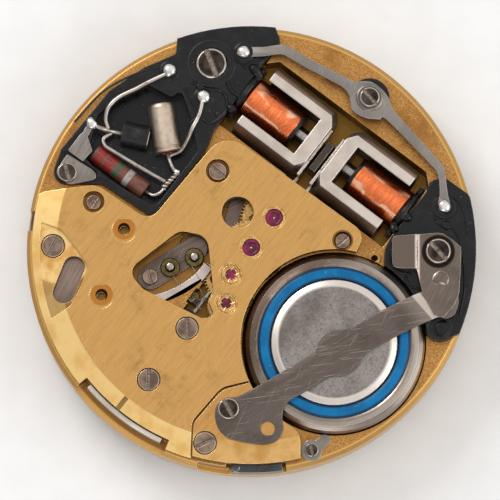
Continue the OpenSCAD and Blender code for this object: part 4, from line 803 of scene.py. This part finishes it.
def strap_metal():
    """Rolled spring steel: faint lines along the strap, scratches both ways, painted edge
    highlights, and a painted highlight band 0.5 mm wide, lighter before it, for light on a bend
    the flat sheet lacks, at a distance x 0.76 + y 0.65 of BEND mm across it."""
    mat, where = begin("spring steel, rolled", Metallic=1.0)
    soft, dot = rounded_edge_highlight(mat, 0.04)
    lines = brush_lines(mat, where, 31, 4.0, 0.04)
    cloud = add(mat, "TexNoise", {"Vector": where, "Scale": 1 / 2.6, "Detail": 5.0, "Roughness": 0.6})
    scratch = brush_lines(mat, where, 8, 2.6, 0.04, 1.0)
    cross = brush_lines(mat, where, 66, 1.8, 0.04, 1.0)
    over = add(mat, "VectorMath", {0: where, 1: (0.76, 0.65, 0)}, "Value", operation="DOT_PRODUCT")
    body = coats(mat, "#5f554e", ("#716760", lines, 0.3, 0.7),
                 ("#4f453e", cloud, 0.44, 0.68, 0.6),
                 ("#8f847a", over, BEND - 1.7, BEND - 0.2, 0.7),
                 ("#cfc1b4", off(mat, over, BEND), 0.3, 0.2, 0.85),
                 ("#5f554e", over, BEND + 0.3, BEND + 0.45, 0.7),
                 ("#d8cdc2", scratch, 0.68, 0.73, 0.5),
                 ("#c9beb3", cross, 0.7, 0.74, 0.4),
                 ("#e2d7cc", dot, *EDGE, 0.6))
    return surface(mat, body, lines, (0.26, 0.36), 0.003, soft)


def sheet(outline, holes, z0, z1, soft=0.02):
    """A flat outline with holes, filled and raised from z0 to z1. It is drawn in by soft, and
    a rounding of as much on its edges brings it out again."""
    flat = bpy.data.curves.new("outline", "CURVE")
    flat.dimensions, flat.fill_mode = "2D", "BOTH"
    flat.extrude, flat.bevel_depth, flat.bevel_resolution = (z1 - z0) / 2 - soft, soft, 1
    flat.offset = -soft
    for edge in (outline, *holes):
        line = flat.splines.new("POLY")
        line.points.add(len(edge) - 1)
        level, weight = np.zeros(len(edge)), np.ones(len(edge))
        line.points.foreach_set("co", np.column_stack([edge, level, weight]).ravel())
        line.use_cyclic_u = True
    made = bpy.data.objects.new("outline", flat)
    mesh = bpy.data.meshes.new_from_object(made)
    points = np.array([v.co for v in mesh.vertices]) + (0, 0, (z0 + z1) / 2)
    faces = [tuple(face.vertices) for face in mesh.polygons]
    bpy.data.objects.remove(made)
    bpy.data.curves.remove(flat)
    bpy.data.meshes.remove(mesh)
    return points, faces


STRAP_Z, STRAP_HOLE = 3.9, (1.05, -11.65)
strap_way = curve([
    (-0.88, -9.62), (0.9, -8.66), (2.2, -7.87), (3.65, -6.98), (4.06, -6.6), (4.3, -6.08), (4.63, -5.66),
    (5.19, -5.38), (5.92, -5.3), (6.41, -5.17), (6.89, -4.88), (8.35, -4.07), (10.7, -2.95), (11.9, -2.6),
    (12.95, -2.7), (13.25, -3.4), (13.0, -4.3), (12.5, -4.6), (12.0, -4.5), (11.43, -4.72), (10.14, -5.3),
    (7.8, -6.55), (7.22, -7.1), (6.89, -7.64), (6.41, -8.07), (5.76, -8.33), (5.19, -8.34), (4.63, -8.56),
    (3.25, -9.42), (2.52, -9.81), (2.07, -10.34), (1.98, -11.07), (2.05, -11.72), (1.71, -12.37),
    (0.9, -12.68), (-0.15, -12.6), (-1.37, -12.3), (-2.05, -11.72), (-2.3, -10.91), (-2.2, -10.18),
    (-1.7, -9.72), (-0.88, -9.62)], 6)[:-1]
strap_eye = STRAP_HOLE + circle(0.45, 48)
made = piece("strap_sheet", [sheet(strap_way, [strap_eye], STRAP_Z, CONTACT_Z)], strap_metal(),
             crease=30)
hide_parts("battery_strap")

BAR_THICK, HUB_AT = 0.16, (7.6, 9.7)
satin = steel("nickel silver, satin", "#87807b", "#979089", "#7a726c", 62, (0.32, 0.42), 0.8)
bar_way = curve([
    (-0.5, 12.96), (0.2, 12.99), (0.9, 13.0), (1.8, 13.13), (2.32, 13.06), (3.42, 12.41), (4.46, 11.83),
    (5.75, 11.18), (6.6, 10.74), (7.1, 10.76), (7.7, 10.72), (8.35, 10.27), (8.8, 9.71), (9.0, 9.17),
    (9.55, 8.4), (12.11, 5.5), (12.4, 4.94), (12.51, 4.1), (12.62, 3.33), (12.75, 2.75), (12.67, 2.35),
    (12.33, 2.18), (11.99, 2.35), (11.92, 2.75), (12.05, 3.33), (12.04, 4.17), (11.91, 4.8),
    (11.55, 5.29), (8.75, 8.2), (8.22, 8.28), (7.44, 8.35), (6.86, 8.59), (6.47, 8.91), (6.36, 9.43),
    (6.28, 9.85), (6.08, 10.17), (5.62, 10.53), (4.33, 11.22), (3.42, 11.7), (2.38, 12.32), (1.87, 12.52),
    (0.9, 12.4), (0.2, 12.36), (-0.5, 12.34), (-0.81, 12.65), (-0.5, 12.96)], 5)[:-1]
made = piece("bar_sheet", [sheet(bar_way, [], BAR_TOP - BAR_THICK, BAR_TOP)], satin,
             crease=30)
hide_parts("contact_bar")


def contact_metal():
    """Nickel silver with 2 mm brush lines, painted shade nearly black round its screw, brown on
    the tab, a painted highlight 0.3 mm wide along the tab's fold, and painted edge highlights."""
    mat, where = begin("nickel silver, folded", Metallic=1.0)
    soft, dot = rounded_edge_highlight(mat, 0.05)
    lines = brush_lines(mat, where, 62, 2.0, 0.05)
    cloud = add(mat, "TexNoise", {"Vector": where, "Scale": 1 / 2.0, "Detail": 4.0})
    x = add(mat, "SeparateXYZ", {0: where}, 0)
    radius = from_axis(mat, where, HOLE_AT)[0]
    body = coats(mat, "#665a51", ("#80746a", lines, 0.3, 0.7),
                 ("#564a42", cloud, 0.45, 0.7, 0.5),
                 ("#1a1614", radius, 1.14, 1.0, 0.95),
                 ("#dcc8ba", x, 10.82, 10.72, 0.9),
                 ("#65594f", x, 10.52, 10.4, 0.95),
                 ("#efe2d6", dot, 0.995, 0.9, 0.7))
    return surface(mat, body, lines, (0.24, 0.36), 0.004, soft)


FOLD_X, FOLD_WIDTH, FOLD_RISE = 10.66, 0.12, 0.14
MOON_AT, MOON_R, MOON_RISE = (12.1, -2.1), 0.5, 0.1


def contact_sheet():
    """The plate on (t down its length, s across it), between a left and a right edge given
    by points. The tab left of the fold rises over it, and the half moon is a round cap that
    stops 0.3 mm below its middle."""
    left = [(9.25, 0.7), (9.07, 0.62), (9.0, 0.45), (9.0, -1.0), (9.1, -1.28), (9.35, -1.38),
            (10.55, -1.4), (10.62, -1.6), (10.9, -2.85), (11.7, -4.4), (12.0, -4.52)]
    right = [(11.95, 0.9), (12.25, 0.86), (12.9, 0.42), (13.4, 0.0), (13.42, -0.4), (13.38, -1.2),
             (13.35, -1.8), (13.33, -2.2), (13.28, -2.95), (13.0, -3.7), (12.3, -4.5)]
    rows, cols = 120, 90
    t, given = np.linspace(0, len(left) - 1, rows), np.arange(len(left))
    left, right = (np.stack([np.interp(t, given, line) for line in np.array(edge).T], 1)[:, None]
                   for edge in (left, right))
    s = np.linspace(0, 1, cols)[None, :, None]
    x, y = np.moveaxis(left * (1 - s) + right * s, -1, 0)
    fold = np.clip((FOLD_X - x) / FOLD_WIDTH, 0, 1)
    lift = FOLD_RISE * fold * fold * (3 - 2 * fold)
    away = np.hypot(x - MOON_AT[0], y - MOON_AT[1]) / MOON_R
    moon = MOON_RISE * np.sqrt(np.clip(1 - away ** 2, 0, 1))
    moon = moon * np.clip((y - MOON_AT[1] + 0.3) / 0.06, 0, 1)
    top = np.stack([x, y, CONTACT_Z + SHEET + lift + moon], -1).reshape(-1, 3)
    n = rows * cols
    edge = np.concatenate([np.arange(cols), np.arange(1, rows) * cols + cols - 1,
                           n - 2 - np.arange(cols - 1), np.arange(rows - 2, 0, -1) * cols])
    wall = np.stack([edge, np.roll(edge, -1), np.roll(edge, -1) + n, edge + n], 1)
    over, under = grid(rows, cols, wrap=False), grid(rows, cols, wrap=False, flip=True) + n
    return np.concatenate([top, top - (0, 0, SHEET)]), np.concatenate([over, under, wall])


made = piece("contact_sheet", [contact_sheet()], contact_metal(), crease=50)
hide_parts("contact_plate")
hub = turned([(0.68, 3.84), (0.68, 3.9), (0.72, 3.92), (0.8, 3.92), (0.86, 3.89), (0.9, 3.84),
              (0.68, 3.84)], 64)
piece("bar_hub_ring", [laid(hub, (*HUB_AT, 0))], stamped)

# Power cell: a standard silver oxide button cell. Its can is drawn from nickel-plated steel,
# a blue moulded seal is crimped in it, and the cap is its other pole. Rubbing in the well
# left fine scratches and brown stains near the seal; the can's upper left is painted shade.

CELL_AT = (5.3, -6.1)


def cell_steel():
    """Drawn nickel-plated steel: circular draw lines round the cell's axis, scratches both
    ways, painted shade towards the upper left, by the wall of the well, painted edge highlights,
    and a speckled, cloudy cap with a pale rim."""
    mat, where = begin("nickel-plated steel, drawn", Metallic=1.0)
    soft, dot = rounded_edge_highlight(mat, 0.05)
    radius = from_axis(mat, where, CELL_AT)[0]
    lines = add(mat, "TexNoise", {"W": radius, "Scale": 1 / 0.09, "Detail": 4.0}, noise_dimensions="1D")
    cloud = add(mat, "TexNoise", {"Vector": where, "Scale": 1 / 2.2, "Detail": 4.0, "Roughness": 0.6})
    scratch = brush_lines(mat, where, 24, 3.0, 0.06, 2.0)
    cross = brush_lines(mat, where, 118, 2.2, 0.07, 2.0)
    speckle = add(mat, "TexNoise", {"Vector": where, "Scale": 1 / 0.12, "Detail": 3.0, "Roughness": 0.7})
    # Painted shade: the can turns dark brown towards the upper left.
    left = add(mat, "VectorMath", {0: where, 1: (*CELL_AT, 0)}, operation="SUBTRACT")
    left = add(mat, "VectorMath", {0: left, 1: (-0.8, 0.6, 0)}, "Value", operation="DOT_PRODUCT")
    cap = coats(mat, "#9d958f", ("#78706a", cloud, 0.34, 0.68),
                ("#5b544f", speckle, 0.5, 0.64, 0.6),
                ("#e2d8ce", radius, 3.5, 3.66, 0.9))
    body = coats(mat, "#968a81", ("#b8aca1", lines, 0.3, 0.7),
                 ("#4f3b2e", left, 0.3, 4.2, 0.85),
                 (coats(mat, "#a08d7e", ("#5a483c", cloud, 0.4, 0.6)), radius, 5.35, 5.0, 0.45),
                 (cap, radius, 4.75, 4.6),
                 ("#e9e2db", scratch, 0.66, 0.74, 0.45),
                 ("#544b46", cross, 0.68, 0.76, 0.4),
                 ("#f4ede5", dot, *EDGE, 0.6))
    return surface(mat, body, cloud, (0.28, 0.42), 0.004, soft)


def seal():
    """Blue nylon seal, moulded: slightly waxy, with dirt of 0.25 mm, and painted shadow in dark
    bands where the cap and the can grip it."""
    mat, where = begin("nylon seal, blue", Specular_IOR_Level=0.2)
    soft = rounded_edge_highlight(mat, 0.08)[0]
    shade = add(mat, "TexNoise", {"Vector": where, "Scale": 1 / 1.4, "Detail": 3.0})
    dirt = add(mat, "TexNoise", {"Vector": where, "Scale": 1 / 0.25})
    radius = from_axis(mat, where, CELL_AT)[0]
    body = coats(mat, "#066092", ("#0c77b0", shade, 0.3, 0.7),
                 ("#8fa8b3", dirt, 0.68, 0.76, 0.5),
                 ("#08395c", radius, 4.26, 4.18, 0.9),
                 ("#08395c", radius, 4.68, 4.76, 0.9))
    return surface(mat, body, shade, (0.24, 0.36), 0.004, soft)


dress(cell_steel(), "cell_can", "cell_cap")
dress(seal(), "cell_gasket")

# Screws: turned from steel rod, slotted by a saw that leaves marks 0.1 mm apart, with polished
# flat heads and a fine chamfer. A row in HEADS holds a head's place, radius, slot angle, top
# and height, and each group of heads replaces the plain ones at the same places.


def screw_steel(name, dark, light, rim):
    """Polished steel head: turning rings, nine to a millimetre of the attribute "out", the
    distance from each screw's own axis, and a painted highlight ring from 0.84 of its radius,
    given by the attribute "share", and painted highlights on the edges."""
    mat, where = begin(name, Metallic=1.0)
    soft, dot = rounded_edge_highlight(mat, 0.05)
    out = add(mat, "Attribute", out="Fac", attribute_name="out")
    share = add(mat, "Attribute", out="Fac", attribute_name="share")
    rings = add(mat, "TexNoise", {"W": out, "Scale": 9.0, "Detail": 3.0}, noise_dimensions="1D")
    cloud = add(mat, "TexNoise", {"Vector": where, "Scale": 1 / 0.7, "Detail": 3.0})
    body = coats(mat, light, (dark, cloud, 0.32, 0.66),
                 (light, rings, 0.5, 0.7, 0.4),
                 (rim, share, 0.84, 0.9, 0.8),
                 (rim, dot, 0.995, 0.88, 0.85))
    return surface(mat, body, rings, (0.18, 0.3), 0.004, soft)


def half_head(r, slot, low, top, cut):
    """Half of a slotted head: an arc of radius r closed by a chord beside the slot, then the
    same outline drawn in by the chamfer, with flat faces between."""
    count, edge = 40, slot / 2 + cut * 0.5
    rings = []
    for reach, chord, z in ((r, slot / 2, low), (r, slot / 2, top - cut), (r - cut, edge, top)):
        start = math.asin(chord / reach)
        a = np.linspace(start, math.pi - start, count)
        rings.append(np.column_stack([reach * np.cos(a), reach * np.sin(a), np.full(count, z)]))
    rings += [(rings[2] - (0, edge, 0)) * (share, share, 1) + (0, edge, 0) for share in (0.82, 0.5)]
    faces = [tuple(face) for face in grid(5, count)]
    middle, under = tuple(range(4 * count, 5 * count)), tuple(range(count))[::-1]
    return np.concatenate(rings), faces + [middle, under]


def head(at, r, degrees, top, height):
    """A whole head at its place: a base disc with its floor at the slot's depth, and two
    halves beside the slot."""
    slot, deep = 0.26 * r, 0.3 * height + 0.06
    base = turned([(0, top - height), (r, top - height), (r, top - deep), (0, top - deep)], 64)
    up = half_head(r, slot, top - deep, top, 0.06 * r + 0.01)
    turn = math.radians(degrees)
    parts = []
    for half, angle, number in ((base, turn, 1), (up, turn, 0), (up, turn + math.pi, 0)):
        c, s = math.cos(angle), math.sin(angle)
        x, y = half[0][:, 0] * c - half[0][:, 1] * s, half[0][:, 0] * s + half[0][:, 1] * c
        parts.append((np.column_stack([x + at[0], y + at[1], half[0][:, 2]]), half[1], number))
    return parts


brown_heads = screw_steel("screw steel, brown", "#6b574a", "#9c8270", "#bfa995")
black_heads = screw_steel("screw steel, blued", "#2a2421", "#574c45", "#d5c8bc")
sawn = clouded("saw cut steel", "#5d5048", "#a3968a", 0.1, (0.3, 0.4), 0.004, Metallic=1.0)
HEADS = {
    "bridge_screws": (((-4.1, -5.2), 0.72, 92, 3.9, 0.4), ((-6.55, -8.5), 0.72, 88, 3.9, 0.4),
                      (SINKS[0], 0.48, 55, BRIDGE_TOP, 0.35), (SINKS[1], 0.6, -40, BRIDGE_TOP, 0.35),
                      (SINKS[2], 0.5, 42, BRIDGE_TOP, 0.35), ((-12.7, 0.15), 0.74, 62, 3.45, 0.3),
                      ((-2.95, -12.55), 0.72, 25, 3.9, 0.4), ((-6.5, -1.75), 0.5, -75, 2.85, 0.25)),
    "module_screws": (((-2.55, 11.95), 0.98, -68, 3.75, 0.4), ((-11.8, 4.9), 0.62, -72, 3.7, 0.3),
                      (HUB_AT, 0.64, -48, 4.16, 0.3)),
    "strap_screws": (((-1.45, -10.4), 0.68, -62, 4.35, 0.3), (HOLE_AT, 0.8, -47, 4.5, 0.3),
                     ((3.85, -12.95), 0.44, -75, 3.34, 0.3)),
}
for group, heads in HEADS.items():
    parts = [part for entry in heads for part in head(*entry)]
    made = piece(group + "_heads", parts, [brown_heads if group == "bridge_screws" else black_heads, sawn],
                 crease=25)
    centres, sizes = np.array([entry[0] for entry in heads]), np.array([entry[1] for entry in heads])
    flat = np.array([v.co[:2] for v in made.data.vertices]) / MM
    away = np.sqrt(((flat[:, None] - centres[None]) ** 2).sum(-1))
    near = away.argmin(1)
    made.data.attributes.new("out", "FLOAT", "POINT").data.foreach_set("value", away.min(1))
    made.data.attributes.new("share", "FLOAT", "POINT").data.foreach_set("value", away.min(1) / sizes[near])
    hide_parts(group)
dress(black_heads, "fork_screws")

# Rim pieces: a pale steel spring that fills a cut in the edge at the lower left, and the
# catch of a dial foot with its brass pin at the bottom.

dress(steel("rim spring, matt", "#cfc4ba", "#eae1d8", "#b8ab9f", -30, (0.36, 0.46)), "rim_spring")
dress(steel("catch steel, grey", "#4d5154", "#7b8083", "#3b3835", 0, (0.28, 0.42), 1.5), "dial_foot_catch")

# Floor, light and camera: a pale table, soft boxes as in a product photo, and a long lens
# seven degrees south of straight above, framed so that the movement fills 450 of 500 pixels.


def pale_table():
    """Matt paper, plain near-white, that keeps the object's shadow. Metal mirrors it as an
    even light grey, and it is clear from below, so that the dial side can be seen."""
    mat = clouded("table paper", "#f4f3f2", "#f7f6f5", 2.0, (0.85, 0.9))
    nodes = mat.node_tree.nodes
    paper = add(mat, "MixShader", {0: add(mat, "LightPath", out="Is Glossy Ray"),
                                   1: nodes["Principled BSDF"].outputs[0],
                                   2: add(mat, "Emission", {"Strength": 0.7})})
    shown = add(mat, "MixShader", {0: add(mat, "NewGeometry", out="Backfacing"), 1: paper,
                                   2: add(mat, "BsdfTransparent")})
    mat.node_tree.links.new(shown, nodes["Material Output"].inputs["Surface"])
    return mat


TABLE_Z, TABLE_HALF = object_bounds()[0][2] - 0.0002, 0.4
floor_mesh = bpy.data.meshes.new("table")
CORNERS = ((-1, -1), (1, -1), (1, 1), (-1, 1))
floor_mesh.from_pydata([(x * TABLE_HALF, y * TABLE_HALF, TABLE_Z) for x, y in CORNERS],
                       [], [(0, 1, 2, 3)])
floor_mesh.materials.append(pale_table())
floor = placed("table", floor_mesh)


def soft_box(name, place, size, power, aim=(0, 0, 0)):
    """A square area lamp of a size in metres that looks at a point."""
    lamp = bpy.data.lights.new(name, "AREA")
    lamp.shape, lamp.size, lamp.energy = "SQUARE", size, power
    made = placed(name, lamp)
    made.location = place
    way = np.array(aim) - np.array(place)
    flat = math.hypot(way[0], way[1])
    made.rotation_euler = (math.atan2(flat, -way[2]), 0, math.atan2(way[1], way[0]) - math.pi / 2)


soft_box("key", (-0.10, 0.13, 0.13), 0.10, 0.2)
soft_box("fill", (0.16, -0.05, 0.10), 0.12, 0.1)
soft_box("front", (-0.02, -0.16, 0.08), 0.10, 0.05)

# The world: the camera and rays through glass see a plain white, diffuse light is softer,
# and what metal mirrors fades from white overhead and to the right to grey at the horizon,
# as in a tent whose open side is at the left.

world = bpy.data.worlds.new("studio")
bpy.context.scene.world = world
world.use_nodes = True
BRIGHTEST = (0.34, 0.2, 0.92)
lean = add(world, "VectorMath", {0: add(world, "TexCoord", out="Generated"), 1: BRIGHTEST}, "Value",
           operation="DOT_PRODUCT")
tent = add(world, "MapRange", {"Value": lean, "From Min": 0.1, "From Max": 0.95,
                               "To Min": 0.38, "To Max": 1.0})
backdrop = world.node_tree.nodes["Background"]
rays = world.node_tree.nodes.new("ShaderNodeLightPath").outputs
mirrored = add(world, "Mix", {0: rays["Is Glossy Ray"], 2: 0.62, 3: tent}, data_type="FLOAT")
seen = add(world, "Math", {0: rays["Is Camera Ray"], 1: rays["Is Transmission Ray"]}, operation="MAXIMUM")
strength = add(world, "Mix", {0: seen, 2: mirrored, 3: 0.95}, data_type="FLOAT")
world.node_tree.links.new(strength, backdrop.inputs["Strength"])
backdrop.inputs["Color"].default_value = (1, 1, 1, 1)

camera = bpy.data.cameras.new("camera")
eye = placed("camera", camera)
AWAY, TILT, FIELD = 0.4, math.radians(7.3), 0.03198
AIM = np.array([-0.00008, -0.00017, 0.0039])
eye.location = AIM + AWAY * np.array([0, -math.sin(TILT), math.cos(TILT)])
eye.rotation_euler = (TILT, 0, 0)
camera.sensor_width = 36
camera.lens = 36 * AWAY / FIELD
camera.clip_start, camera.clip_end = 0.01, 5
bpy.context.scene.camera = eye
bpy.context.scene.view_settings.view_transform = "Standard"
